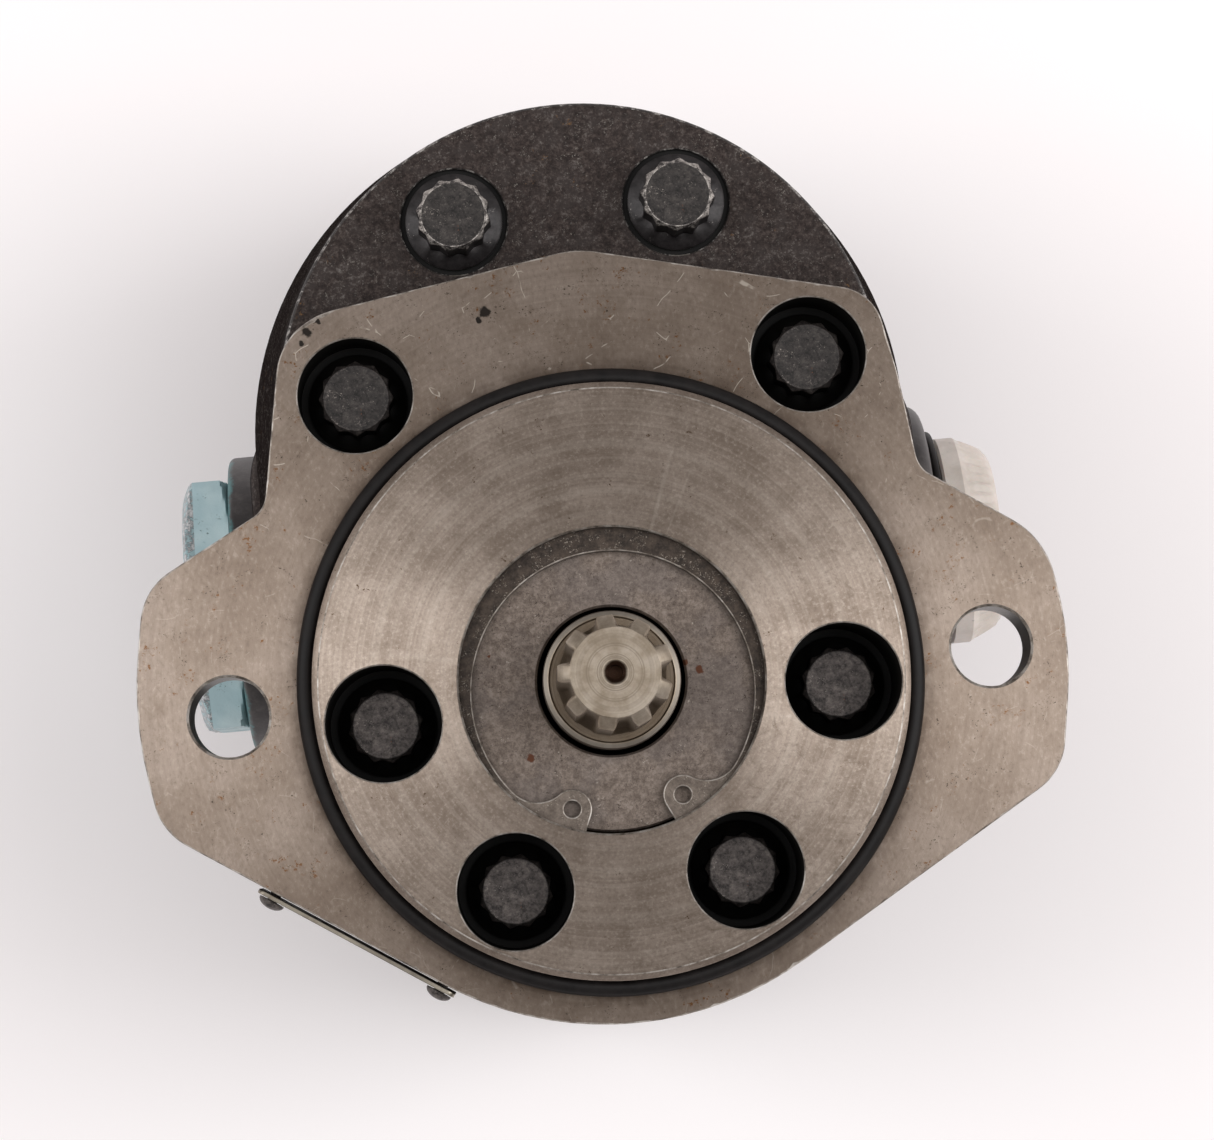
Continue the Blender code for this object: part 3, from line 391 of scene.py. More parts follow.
class Finish:
    """A Principled material, with short calls for the nodes that feed it.

    Lengths are in millimetres: texture coordinates are the piece's own, in metres.
    The colour is laid on in coats, each over the ones before it.
    """

    def __init__(self, name, metallic, roughness, **uniform):
        self.material = bpy.data.materials.new(name)
        self.material.use_nodes = True
        self.tree = self.material.node_tree
        self.shader = self.tree.nodes["Principled BSDF"]
        self.coordinates = self.node("TexCoord").outputs["Object"]
        self.base = None
        self.feed("Metallic", metallic)
        self.feed("Roughness", roughness)
        for socket, value in uniform.items():
            self.feed(socket.replace("_", " "), value)

    def put(self, socket, value):
        """Links a node's output to a socket, or sets a plain value or colour."""
        if isinstance(value, bpy.types.NodeSocket):
            self.tree.links.new(value, socket)
        elif socket.type == "RGBA":
            socket.default_value = (*value, 1)
        else:
            socket.default_value = value

    def feed(self, socket, value):
        self.put(self.shader.inputs[socket], value)

    def node(self, kind, *links, **settings):
        node = self.tree.nodes.new("ShaderNode" + kind)
        for key, value in settings.items():
            setattr(node, key, value)
        for socket, value in links:
            self.put(node.inputs[socket], value)
        return node

    def math(self, operation, first, second=0.0):
        return self.node("Math", (0, first), (1, second), operation=operation).outputs[0]

    def times(self, first, second):
        return self.math("MULTIPLY", first, second)

    def plus(self, first, second):
        return self.math("ADD", first, second)

    def vector(self, operation, first, second=(0.0, 0.0, 0.0)):
        return self.node("VectorMath", (0, first), (1, second), operation=operation).outputs[0]

    def separate(self, vector=None):
        return self.node("SeparateXYZ", (0, vector or self.coordinates)).outputs

    def stretched(self, x, y, z):
        return self.node("Mapping", ("Vector", self.coordinates), ("Scale", (x, y, z))).outputs[0]

    def noise(self, size, detail=4.0, rough=0.55, vector=None, distortion=0.0):
        links = (
            ("Vector", vector or self.coordinates),
            ("Scale", 1 / (size * MM)),
            ("Detail", detail),
            ("Roughness", rough),
            ("Distortion", distortion),
        )
        return self.node("TexNoise", *links).outputs["Fac"]

    def cells(self, size, feature="F1", vector=None):
        links = (("Vector", vector or self.coordinates), ("Scale", 1 / (size * MM)))
        return self.node("TexVoronoi", *links, feature=feature).outputs["Distance"]

    def ramp(self, value, *stops):
        """Colour ramp through stops of (position, colour)."""
        node = self.node("ValToRGB", ("Fac", value))
        elements = node.color_ramp.elements
        for index, (position, colour) in enumerate(stops):
            element = elements[index] if index < 2 else elements.new(position)
            element.position = position
            element.color = (*colour, 1)
        return node.outputs[0]

    def window(self, value, low, high):
        """0 below low and 1 above high, or the other way round when low is the larger."""
        links = (("Value", value), ("From Min", low), ("From Max", high))
        return self.node("MapRange", *links, interpolation_type="SMOOTHSTEP").outputs[0]

    def mix(self, share, first, second):
        return self.node("Mix", (0, share), (6, first), (7, second), data_type="RGBA").outputs[2]

    def radius(self, x=0.0, y=0.0):
        """Distance in metres from the vertical line through (x, y)."""
        across = self.vector("SUBTRACT", self.coordinates, (x * MM, y * MM, 0))
        flat = self.vector("MULTIPLY", across, (1, 1, 0))
        return self.node("VectorMath", (0, flat), operation="LENGTH").outputs["Value"]

    def lathe(self):
        """Distance from the shaft's axis, and coordinates that are the same all round it."""
        radius = self.radius()
        return radius, self.node("CombineXYZ", ("X", radius), ("Z", self.separate()[2])).outputs[0]

    def radial_tangent(self):
        x, y, _ = self.separate()
        self.feed("Tangent", self.node("CombineXYZ", ("X", x), ("Y", y)).outputs[0])

    def along(self, x, y):
        """Reach in metres in the level direction (x, y)."""
        dot = self.node("VectorMath", (0, self.coordinates), (1, (x, y, 0)), operation="DOT_PRODUCT")
        return dot.outputs["Value"]

    def pits(self, size, density):
        """Small ragged marks, far apart, no two alike."""
        ragged = self.window(self.noise(size * 0.45, 5, 0.8), 0.575, 0.615)
        there = self.window(self.noise(size * 2.6, 2, 0.5), 1 - density, 1.04 - density)
        return self.times(ragged, there)

    def fibres(self, height):
        """Stray hairs lying on the face, thickest towards the top."""
        bent = self.vector("ADD", self.coordinates, self.drift(7, 2.5))
        lines = self.window(self.cells(6.5, "DISTANCE_TO_EDGE", bent), 0.011, 0.005)
        short = self.window(self.noise(3.2, 2), 0.57, 0.63)
        amount = self.plus(self.times(self.window(height, 15 * MM, 45 * MM), 0.55), 0.16)
        return self.times(self.times(lines, short), amount)

    def drift(self, size, reach):
        """A smooth sideways shift, as a vector, that varies from place to place."""
        links = (("Vector", self.coordinates), ("Scale", 1 / (size * MM)), ("Detail", 2.0))
        colours = self.node("TexNoise", *links).outputs["Color"]
        centred = self.vector("SUBTRACT", colours, (0.5, 0.5, 0.5))
        return self.node("VectorMath", (0, centred), ("Scale", reach * MM), operation="SCALE").outputs[0]

    def coat(self, colour, share=None, strength=1.0):
        """Lays a colour over the coats before it where share is 1, or everywhere."""
        if share is None:
            self.base = colour
            return
        if strength < 1:
            share = self.times(share, strength)
        self.base = self.mix(share, self.base, colour)

    def roughness(self, field, span, least):
        self.feed("Roughness", self.plus(self.times(field, span), least))

    def tone(self, value, *stops):
        """First coat, a ramp over a noise."""
        self.coat(self.ramp(value, *stops))

    def wash(self, colour, field, low, high, strength=1.0):
        """A coat that comes in as the field passes from low to high."""
        self.coat(colour, self.window(field, low, high), strength)

    def spots(self, colour, ragged, places):
        """Ragged spots round vertical lines, from places of (x, y, reach)."""
        for x, y, reach in places:
            wobble = self.times(self.noise(1.3, 3), ragged * 2 * MM)
            distance = self.plus(self.radius(x, y), wobble)
            self.coat(colour, self.window(distance, (reach + ragged) * MM, (reach * 0.6 + ragged) * MM))

    def done(self, *bumps):
        """Feeds the coats and a chain of bumps of (height, depth), finest last."""
        self.feed("Base Color", self.base)
        normal = None
        for height, depth in bumps:
            links = [("Height", height), ("Distance", depth * MM), ("Strength", 1.0)]
            if normal:
                links.append(("Normal", normal))
            normal = self.node("Bump", *links).outputs[0]
        self.feed("Normal", normal)
        return self.material


def make_ground_face():
    """Flange face: ground, stained warm grey, with small pits, short fibres and a few knocks."""
    look = Finish("ground_face", 0.92, 0.46, Anisotropic=0.82)
    radius, turns = look.lathe()
    grain = look.noise(0.7, 4, 0.75, turns)
    fine = look.noise(0.55, 4, 0.75, look.stretched(1, 0.6, 1))
    clouds = look.noise(15, 5, 0.6)
    blotches = look.noise(4.5, 6, 0.7, distortion=0.7)
    tones = ((0.36, (0.190, 0.147, 0.117)), (0.5, (0.232, 0.184, 0.149)), (0.64, (0.280, 0.226, 0.188)))
    look.tone(clouds, *tones)
    look.wash((0.16, 0.118, 0.088), blotches, 0.54, 0.70, 0.38)
    look.wash((0.11, 0.082, 0.064), grain, 0.42, 0.62, 0.18)
    look.wash((0.50, 0.435, 0.375), fine, 0.52, 0.68, 0.18)
    look.wash((0.09, 0.067, 0.052), fine, 0.48, 0.33, 0.26)
    # Darker in patches round the foot of the pilot
    pilot_foot = look.window(radius, 47.0 * MM, 43.2 * MM)
    patchy = look.window(look.noise(3, 4), 0.25, 0.62)
    look.coat((0.075, 0.05, 0.035), look.times(pilot_foot, patchy), 0.62)
    look.coat((0.035, 0.024, 0.016), look.pits(0.9, 0.42))
    look.coat((0.15, 0.07, 0.03), look.pits(1.5, 0.41))
    look.coat((0.56, 0.50, 0.43), look.fibres(look.separate()[1]))
    middle_knocks = ((-12.6, 53.0, 0.85), (-13.7, 51.9, 0.45))
    corner_knocks = ((-37.6, 52.4, 0.8), (-36.1, 53.9, 0.55), (-38.6, 50.9, 0.45))
    look.spots((0.028, 0.023, 0.02), 0.8, middle_knocks + corner_knocks)
    look.roughness(clouds, 0.14, 0.38)
    look.radial_tangent()
    return look.done((blotches, 0.012), (grain, 0.012), (fine, 0.012))


def make_turned_face():
    """Pilot: lathe rings round the shaft, which fan the light out, with painted glints along a few radii and
    scuffs on one side.
    """
    look = Finish("turned_face", 0.92, 0.42, Anisotropic=0.86)
    turns = look.lathe()[1]
    rings = look.noise(0.45, 3, 0.7, turns)
    broad = look.noise(1.6, 3, 0.6, turns)
    clouds = look.noise(9, 5, 0.65)
    fine = look.noise(0.5, 4, 0.75)
    look.tone(clouds, (0.38, (0.218, 0.173, 0.140)), (0.62, (0.325, 0.267, 0.224)))
    look.wash((0.14, 0.105, 0.083), rings, 0.42, 0.62, 0.24)
    look.wash((0.42, 0.362, 0.31), broad, 0.48, 0.62, 0.24)
    look.wash((0.52, 0.455, 0.395), fine, 0.52, 0.66, 0.28)
    look.wash((0.095, 0.072, 0.057), fine, 0.48, 0.35, 0.26)
    # Painted glints: pale streaks in the colour that stand for highlights along the radii
    for ray_x, ray_y, width, strength in PAINTED_GLINTS:
        ahead = look.along(ray_x, ray_y)
        across = look.along(-ray_y, ray_x)
        ratio = look.math("DIVIDE", across, look.math("MAXIMUM", ahead, 1 * MM))
        glint = look.window(look.math("ABSOLUTE", ratio), width, width * 0.1)
        glint = look.times(glint, look.window(ahead, 36 * MM, 27 * MM))
        look.coat((0.62, 0.56, 0.49), glint, strength * 0.5)
    x, y, _ = look.separate()
    scuffed_side = look.window(look.plus(x, look.times(y, -0.6)), 4 * MM, 34 * MM)
    scuffs = look.noise(2.6, 7, 0.8, look.stretched(0.7, 1, 1), 1.4)
    scuffs = look.times(look.window(scuffs, 0.50, 0.70), scuffed_side)
    look.coat((0.10, 0.072, 0.052), scuffs, 0.55)
    look.coat((0.07, 0.038, 0.02), look.pits(1.1, 0.36))
    look.roughness(broad, 0.12, 0.37)
    look.radial_tangent()
    return look.done((broad, 0.006), (rings, 0.010), (fine, 0.008))


def make_bright_edge():
    """Thin bright chamfers left by the cutter, dulled and stained in places."""
    look = Finish("bright_edge", 0.75, 0.5)
    patches = look.noise(2.2, 4, 0.7)
    tones = ((0.36, (0.12, 0.10, 0.083)), (0.48, (0.30, 0.262, 0.228)), (0.64, (0.54, 0.50, 0.46)))
    look.tone(patches, *tones)
    return look.done((look.noise(0.4, 3), 0.03))


def make_black_casting():
    """Cast skin under black paint, with dust, pale rubs and a few brown crumbs.

    Upright faces are darker, from painted shade, and have no sheen, because they see the pale floor at a low
    angle.
    """
    look = Finish("black_casting", 0.0, 0.7)
    lumps = look.noise(3.2, 5, 0.65)
    sand = look.noise(0.75, 5, 0.78)
    pores = look.cells(1.3)
    normal = look.node("NewGeometry").outputs["Normal"]
    upright = look.window(look.math("ABSOLUTE", look.separate(normal)[2]), 0.6, 0.2)
    tones = ((0.37, (0.016, 0.0108, 0.0096)), (0.5, (0.034, 0.0245, 0.022)), (0.63, (0.070, 0.054, 0.048)))
    look.tone(sand, *tones)
    look.wash((0.052, 0.042, 0.039), lumps, 0.44, 0.62, 0.45)
    # Painted shade: upright faces darkened in colour
    look.coat((0.008, 0.0066, 0.0066), upright, 0.75)
    rubs = look.times(look.window(sand, 0.55, 0.68), look.window(lumps, 0.44, 0.60))
    look.coat((0.17, 0.155, 0.145), rubs, 0.7)
    look.wash((0.16, 0.145, 0.135), look.noise(0.45, 3, 0.8), 0.60, 0.70, 0.55)
    look.coat((0.20, 0.18, 0.16), look.pits(0.7, 0.43))
    look.coat((0.14, 0.075, 0.033), look.pits(1.6, 0.36))
    look.feed("Specular IOR Level", look.times(look.math("SUBTRACT", 1.0, upright), 0.16))
    look.roughness(sand, 0.35, 0.46)
    return look.done((lumps, 0.35), (pores, 0.10), (sand, 0.20))


def make_worn_edge():
    """Corner of the casting where the paint has rubbed through to grey iron in a thin line."""
    look = Finish("worn_edge", 0.25, 0.5)
    bare = look.noise(1.6, 7, 0.8, distortion=0.5)
    look.coat((0.030, 0.025, 0.023))
    look.wash((0.34, 0.315, 0.295), bare, 0.50, 0.60)
    return look.done((look.noise(0.5, 4, 0.7), 0.12))


def make_dark_bore():
    """Walls of the counterbores, near black: blackened oxide under painted shade."""
    look = Finish("dark_bore", 0.0, 0.55, Specular_IOR_Level=0.2)
    rings = look.noise(0.3, 2, 0.6, look.stretched(0.02, 0.02, 1))
    look.tone(rings, (0.3, (0.0022, 0.0018, 0.0015)), (0.75, (0.007, 0.006, 0.005)))
    return look.done((rings, 0.02))


def make_recess_wall():
    """Turned wall of the seal recess, dark oxide made darker still by painted shade."""
    look = Finish("recess_wall", 0.8, 0.36)
    rings = look.noise(0.25, 3, 0.65, look.stretched(0.02, 0.02, 1))
    # Painted shade on top of the oxide: the tones sit well below the turned face
    look.tone(rings, (0.38, (0.046, 0.033, 0.025)), (0.62, (0.118, 0.092, 0.073)))
    return look.done((rings, 0.03))


def make_machined_black():
    """Port bosses: smooth blackened turning, dusty on top, with painted shade past the crest and a ragged
    stripe of overspray.
    """
    look = Finish("machined_black", 0.3, 0.4)
    x, y, _ = look.separate()
    rings = look.noise(0.3, 2, 0.6, look.stretched(1, 0.02, 0.02))
    dust = look.window(look.noise(3.5, 5, 0.7), 0.42, 0.8)
    look.coat((0.036, 0.031, 0.031))
    look.coat((0.12, 0.108, 0.103), dust, 0.6)
    # Painted shade: darker past the crest, where the boss turns away; the dust makes its edge ragged
    crest = look.plus(y, look.times(dust, 0.5 * MM))
    look.wash((0.012, 0.014, 0.015), crest, 42.35 * MM, 42.6 * MM)
    spray = look.plus(x, look.times(look.noise(3, 5, 0.75), 4 * MM))
    look.wash((0.055, 0.165, 0.172), spray, -51.6 * MM, -52.4 * MM, 0.85)
    return look.done((rings, 0.02), (look.noise(0.8, 4, 0.7), 0.02))


def make_shaft_steel():
    """Turned and hobbed steel with a light brown film, rust in the centre hole and painted shade low on the
    spline.
    """
    look = Finish("shaft_steel", 0.9, 0.42)
    radius, turns = look.lathe()
    rings = look.noise(0.3, 3, 0.7, turns)
    film = look.noise(3.2, 5, 0.65)
    fine = look.noise(0.3, 3, 0.7)
    tones = ((0.38, (0.225, 0.182, 0.137)), (0.5, (0.285, 0.238, 0.186)), (0.62, (0.345, 0.296, 0.242)))
    look.tone(film, *tones)
    inner = look.window(radius, 6.2 * MM, 2.4 * MM)
    cut = look.plus(look.times(inner, 0.44), 0.14)
    look.coat((0.15, 0.12, 0.09), look.times(look.window(rings, 0.44, 0.58), cut))
    # Painted shade: the spline darkens towards the shoulder, deep in the recess
    low = look.window(look.separate()[2], (SHAFT_END_Z - 3) * MM, (SHOULDER_Z + 4) * MM)
    shoulder = look.window(radius, 8.72 * MM, 8.62 * MM)
    look.coat((0.105, 0.077, 0.052), look.times(low, shoulder), 0.78)
    look.wash((0.17, 0.155, 0.138), radius, 8.82 * MM, 8.95 * MM, 0.6)
    hole = look.plus(radius, look.times(film, 0.7 * MM))
    look.wash((0.026, 0.0095, 0.004), hole, 1.95 * MM, 1.65 * MM, 0.96)
    look.wash((0.20, 0.155, 0.11), fine, 0.6, 0.8, 0.25)
    look.roughness(film, 0.2, 0.32)
    return look.done((rings, 0.03))


def make_washer_steel():
    """Dull pressed steel in the recess: brown grey, finely mottled, with a few rust spots."""
    look = Finish("washer_steel", 0.7, 0.5)
    mottle = look.noise(1.0, 6, 0.82)
    tones = ((0.37, (0.092, 0.071, 0.058)), (0.5, (0.158, 0.125, 0.104)), (0.63, (0.235, 0.193, 0.166)))
    look.tone(mottle, *tones)
    look.wash((0.105, 0.089, 0.085), look.noise(7, 4), 0.42, 0.62, 0.38)
    look.coat((0.045, 0.032, 0.026), look.pits(0.8, 0.48))
    look.coat((0.34, 0.30, 0.26), look.pits(1.0, 0.40))
    rust = ((12.4, 0.4, 0.62), (-12.1, -9.5, 0.66), (10.4, 1.6, 0.3), (-16.5, 5.0, 0.3), (15.0, 12.5, 0.3))
    look.spots((0.085, 0.030, 0.014), 0.7, rust)
    return look.done((mottle, 0.02))


def make_spring_steel():
    """Phosphated spring steel of the retaining ring, darkened by painted shade except towards its two eyes.
    """
    look = Finish("spring_steel", 0.6, 0.45)
    film = look.noise(1.3, 6, 0.8)
    pale = look.ramp(film, (0.38, (0.085, 0.066, 0.053)), (0.62, (0.175, 0.142, 0.118)))
    look.tone(film, (0.38, (0.017, 0.0115, 0.0085)), (0.62, (0.062, 0.045, 0.034)))
    # Painted shade: dark away from the eyes, paler low down towards them
    look.wash(pale, look.separate()[1], -9 * MM, -16 * MM)
    look.coat((0.30, 0.26, 0.22), look.pits(0.6, 0.5))
    return look.done((look.noise(0.3, 3), 0.02))


def make_bolt_crown(name, shade):
    """Forged crown of a bolt: dark oxide rubbed grey in flecks, with traces of rust."""
    look = Finish(name, 0.5, 0.5)
    grime = look.noise(0.9, 7, 0.8)
    clouds = look.noise(5, 3)
    # shade scales the tones down: painted shade, for darker copies of one crown on bolts that the lamps light
    # differently
    dark, middle, pale = (tuple(level * shade for level in tone) for tone in CROWN_TONES)
    darkest = tuple(0.5 * level for level in dark)
    look.tone(grime, (0.38, darkest), (0.5, middle), (0.64, pale))
    look.wash(dark, clouds, 0.5, 0.7, 0.4)
    look.wash((0.19, 0.165, 0.15), look.noise(0.42, 4, 0.85), 0.57, 0.66, 0.42)
    look.coat((0.28, 0.245, 0.22), look.pits(0.55, 0.41))
    look.coat((0.13, 0.048, 0.018), look.pits(1.5, 0.34))
    return look.done((clouds, 0.05), (grime, 0.10))


def make_bolt_rim():
    """Edge of the crown and the points, where spanners have rubbed the oxide to bare steel."""
    look = Finish("bolt_rim", 0.8, 0.36)
    look.coat((0.045, 0.039, 0.038))
    look.wash((0.42, 0.385, 0.355), look.noise(0.8, 5, 0.8), 0.40, 0.60)
    return look.done((look.noise(0.35, 4), 0.05))


def make_bolt_collar():
    """Smooth blue-black flange and flanks of the bolts on the deck."""
    look = Finish("bolt_collar", 0.5, 0.36)
    film = look.noise(2.5, 5, 0.7)
    look.tone(film, (0.38, (0.015, 0.0128, 0.0132)), (0.62, (0.042, 0.037, 0.0375)))
    look.coat((0.26, 0.235, 0.22), look.pits(0.5, 0.38))
    return look.done((look.noise(0.5, 4, 0.7), 0.02))


def make_rubber():
    """Oily black rubber."""
    look = Finish("black_rubber", 0.0, 0.42, Specular_IOR_Level=0.2)
    bloom = look.noise(2.2, 4, 0.6)
    look.tone(bloom, (0.35, (0.004, 0.003, 0.003)), (0.75, (0.012, 0.0095, 0.009)))
    look.roughness(bloom, 0.25, 0.36)
    return look.done((look.noise(0.35, 3), 0.015))


def make_teal_paint():
    """Sprayed teal, chalky on top and darker where it thins."""
    look = Finish("teal_paint", 0.0, 0.5, Specular_IOR_Level=0.4)
    spray = look.noise(1.2, 5, 0.6)
    look.tone(look.noise(8, 3), (0.38, (0.44, 0.60, 0.64)), (0.62, (0.58, 0.72, 0.745)))
    look.wash((0.16, 0.33, 0.355), spray, 0.62, 0.78, 0.6)
    look.coat((0.12, 0.20, 0.21), look.pits(1.2, 0.42))
    return look.done((spray, 0.06), (look.noise(0.5, 3), 0.03))


def make_chipped_teal():
    """Plug chamfer where the paint has flaked off the plated steel in specks."""
    look = Finish("chipped_teal", 0.55, 0.38)
    flakes = look.noise(1.3, 7, 0.8)
    paint = ((0.46, (0.36, 0.50, 0.53)), (0.485, (0.05, 0.052, 0.055)))
    steel = ((0.51, (0.36, 0.37, 0.38)), (0.6, (0.66, 0.67, 0.68)))
    look.tone(flakes, *paint, *steel)
    return look.done((flakes, 0.08))


def make_ivory_plastic():
    """Off-white cap plastic, grubby in patches."""
    look = Finish("ivory_plastic", 0.0, 0.42, Subsurface_Weight=0.08, Subsurface_Scale=0.002)
    clouds = look.noise(6, 5, 0.65)
    look.tone(clouds, (0.3, (0.55, 0.485, 0.43)), (0.7, (0.74, 0.665, 0.61)))
    look.wash((0.20, 0.18, 0.15), look.noise(1.4, 5, 0.75), 0.62, 0.78)
    return look.done((look.noise(0.6, 3), 0.02))


def make_plate_aluminium():
    """Brushed sheet, dull with age."""
    look = Finish("plate_aluminium", 1.0, 0.34)
    grain = look.noise(0.25, 2, 0.6, look.stretched(0.06, 0.06, 1))
    look.tone(grain, (0.3, (0.16, 0.14, 0.115)), (0.7, (0.34, 0.305, 0.25)))
    look.wash((0.16, 0.13, 0.10), look.noise(3, 5, 0.7), 0.52, 0.7)
    return look.done((grain, 0.02))


def make_bronze():
    look = Finish("bearing_bronze", 1.0, 0.34)
    clouds = look.noise(5, 4, 0.6)
    rings = look.noise(0.3, 2, 0.6, look.stretched(0.05, 0.05, 1))
    look.tone(clouds, (0.3, (0.42, 0.27, 0.12)), (0.7, (0.62, 0.43, 0.21)))
    return look.done((rings, 0.02))


def make_floor():
    """Pale seamless board, faintly pink, with soft unevenness."""
    look = Finish("pale_board", 0.0, 0.7, Specular_IOR_Level=0.2, Emission_Strength=0.055)
    look.feed("Emission Color", (1.0, 0.955, 0.955))
    clouds = look.noise(260, 3, 0.5)
    look.tone(clouds, (0.3, (0.93, 0.885, 0.89)), (0.7, (0.97, 0.935, 0.94)))
    return look.done((look.noise(1.2, 3), 0.01))


# Castings


def bolt_places():
    """The eight bolts, from the top row down, and from left to right in each row."""
    places = []
    for angle in map(math.radians, BOLT_ANGLES):
        x, y = at(BOLT_ARC_RADIUS, angle)
        for side in (1, -1):
            places.append((side * x, y))
            places.append((side * x, CENTRE_DISTANCE - y))
    return sorted(places, key=lambda place: (-place[1], place[0]))


def drill_bolts(bm, low, high):
    for x, y in bolt_places():
        prism(circle(BOLT_RADIUS + GAP, 32, x, y), low, high, bm)


def drill_dowels(bm, *joints):
    for x, y in DOWEL_PLACES:
        hole = circle(DOWEL_HOLE_RADIUS, 24, x, y)
        for joint_z in joints:
            prism(hole, joint_z - DOWEL_HOLE_DEPTH, joint_z + DOWEL_HOLE_DEPTH, bm)


def chipped_edge(points):
    """Width of the rubbed edge at each point of the flange, widest at a knocked corner."""
    widths = []
    for x, y in points:
        here = Vector((x, y, 0))
        rub = 0.20 + 0.12 * noise.noise(here * 0.35)
        nick = max(0.0, noise.noise(here * 0.9 + Vector((9, 4, 0))) - 0.42) * 1.1
        near_knock = max(0.0, 1 - math.dist((x, y), KNOCKED_CORNER) / 3.2)
        knock = near_knock * (0.55 + 0.5 * noise.noise(here * 1.7))
        widths.append(rub + nick + max(0.0, knock))
    return widths


def make_front_cover(finishes):
    low = FRONT_JOINT_Z + GAP
    profile = [(BODY_RADIUS - 0.5, low)] + barrel(BODY_RADIUS, low + 0.5, FLARE_Z)
    cover = work_object(edged_stadium(profile + quarter(DECK_RADIUS - 0.6, DECK_Z - 0.6, 0.6, 9, 90, 4)))

    outline = offset(resampled(rounded(FLANGE_CORNERS), 0.7), -0.03)
    edge = chipped_edge(outline)
    rings = []
    for inset, rise in ((-0.7, 0.0), (-0.35, 0.12), (-0.08, 0.4), (0.0, 0.8)):
        rings.append([(x, y, FLANGE_BACK_Z + rise) for x, y in offset(outline, inset)])
    for share, drop in ((0.03, 1.0), (0.35, 0.34), (1.0, 0.0)):
        moved = offset(outline, [-width * share for width in edge])
        rings.append([(x, y, FLANGE_Z - width * drop * 0.9) for (x, y), width in zip(moved, edge)])
    combine(cover, loft(rings), "UNION")

    levels = [(offset(outline, FLANGE_FILLET), DECK_Z - 0.8)]
    for angle in map(math.radians, spread(0, 90, 6)):
        reach = FLANGE_FILLET * (1 - math.sin(angle)) - 0.05
        levels.append((offset(outline, reach), DECK_Z + FLANGE_FILLET * (1 - math.cos(angle))))
    corner = work_object(stack(levels))
    combine(corner, prism(stadium(DECK_RADIUS - 1.0), DECK_Z - 2, DECK_Z + 4), "INTERSECT")
    combine(cover, taken_back(corner), "UNION")

    pilot = barrel(PILOT_GROOVE_RADIUS, FLANGE_Z - 2, PILOT_SHOULDER_Z)
    pilot += [(PILOT_RADIUS - 0.2, PILOT_SHOULDER_Z)]
    pilot += barrel(PILOT_RADIUS, PILOT_SHOULDER_Z + 0.2, PILOT_Z - 0.95)
    chamfer = ((0.12, 0.75), (0.78, 0.08), (0.98, 0))
    pilot += [(PILOT_RADIUS - inset, PILOT_Z - drop) for inset, drop in chamfer]
    combine(cover, turned(pilot, PILOT_SIDES), "UNION")
    combine(cover, front_cover_cuts(), "DIFFERENCE")
    piece(cover, "front_cover_casting", ["front_cover"], finishes, front_cover_zone)


def front_cover_cuts():
    below = FRONT_JOINT_Z - OVERCUT
    above = PILOT_Z + OVERCUT
    bearing_end = FRONT_JOINT_Z + BUSHING_LENGTH + 2 * GAP
    groove_low, groove_high = RING_Z - GAP, RING_Z + RING_THICKNESS + GAP
    bore = barrel(BEARING_BORE_RADIUS, below, bearing_end)
    bore += barrel(SHAFT_HOLE_RADIUS, bearing_end + 3, SEAL_BORE_FLOOR_Z)
    bore += barrel(SEAL_BORE_RADIUS, SEAL_BORE_FLOOR_Z, groove_low)
    bore += barrel(RING_GROOVE_RADIUS, groove_low, groove_high)
    bore += barrel(SEAL_BORE_RADIUS, groove_high, PILOT_Z - 0.26)
    bore += barrel(SEAL_BORE_RADIUS + 0.36, PILOT_Z + 0.1, above)
    bm = turned(bore, SEAL_BORE_SIDES)
    prism(circle(BEARING_BORE_RADIUS, MEDIUM, 0, CENTRE_DISTANCE), below, bearing_end, bm)
    for place, face_z in zip(bolt_places(), BOLT_FACES):
        radius = SPOT_FACE_RADIUS if face_z == DECK_Z else COUNTERBORE_RADIUS
        hole = barrel(BOLT_RADIUS + GAP, below, BOLT_SEAT_Z) + barrel(radius, BOLT_SEAT_Z, face_z - 0.18)
        hole += barrel(radius + 0.24, face_z + 0.06, above)
        turned(hole, MEDIUM, place, bm=bm)
    ear_hole = barrel(EAR_HOLE_RADIUS + 0.4, FLANGE_BACK_Z - OVERCUT, FLANGE_BACK_Z)
    ear_hole += barrel(EAR_HOLE_RADIUS, FLANGE_BACK_Z + 0.4, FLANGE_Z - 0.35)
    ear_hole += barrel(EAR_HOLE_RADIUS + 0.45, FLANGE_Z + 0.1, PILOT_Z)
    for side in (1, -1):
        turned(ear_hole, MEDIUM, (side * EAR_HOLE_X, 0), bm=bm)
    drill_dowels(bm, FRONT_JOINT_Z)
    return bm


CAST, GROUND, TURNED, EDGE, WORN, BORE, RECESS = range(7)


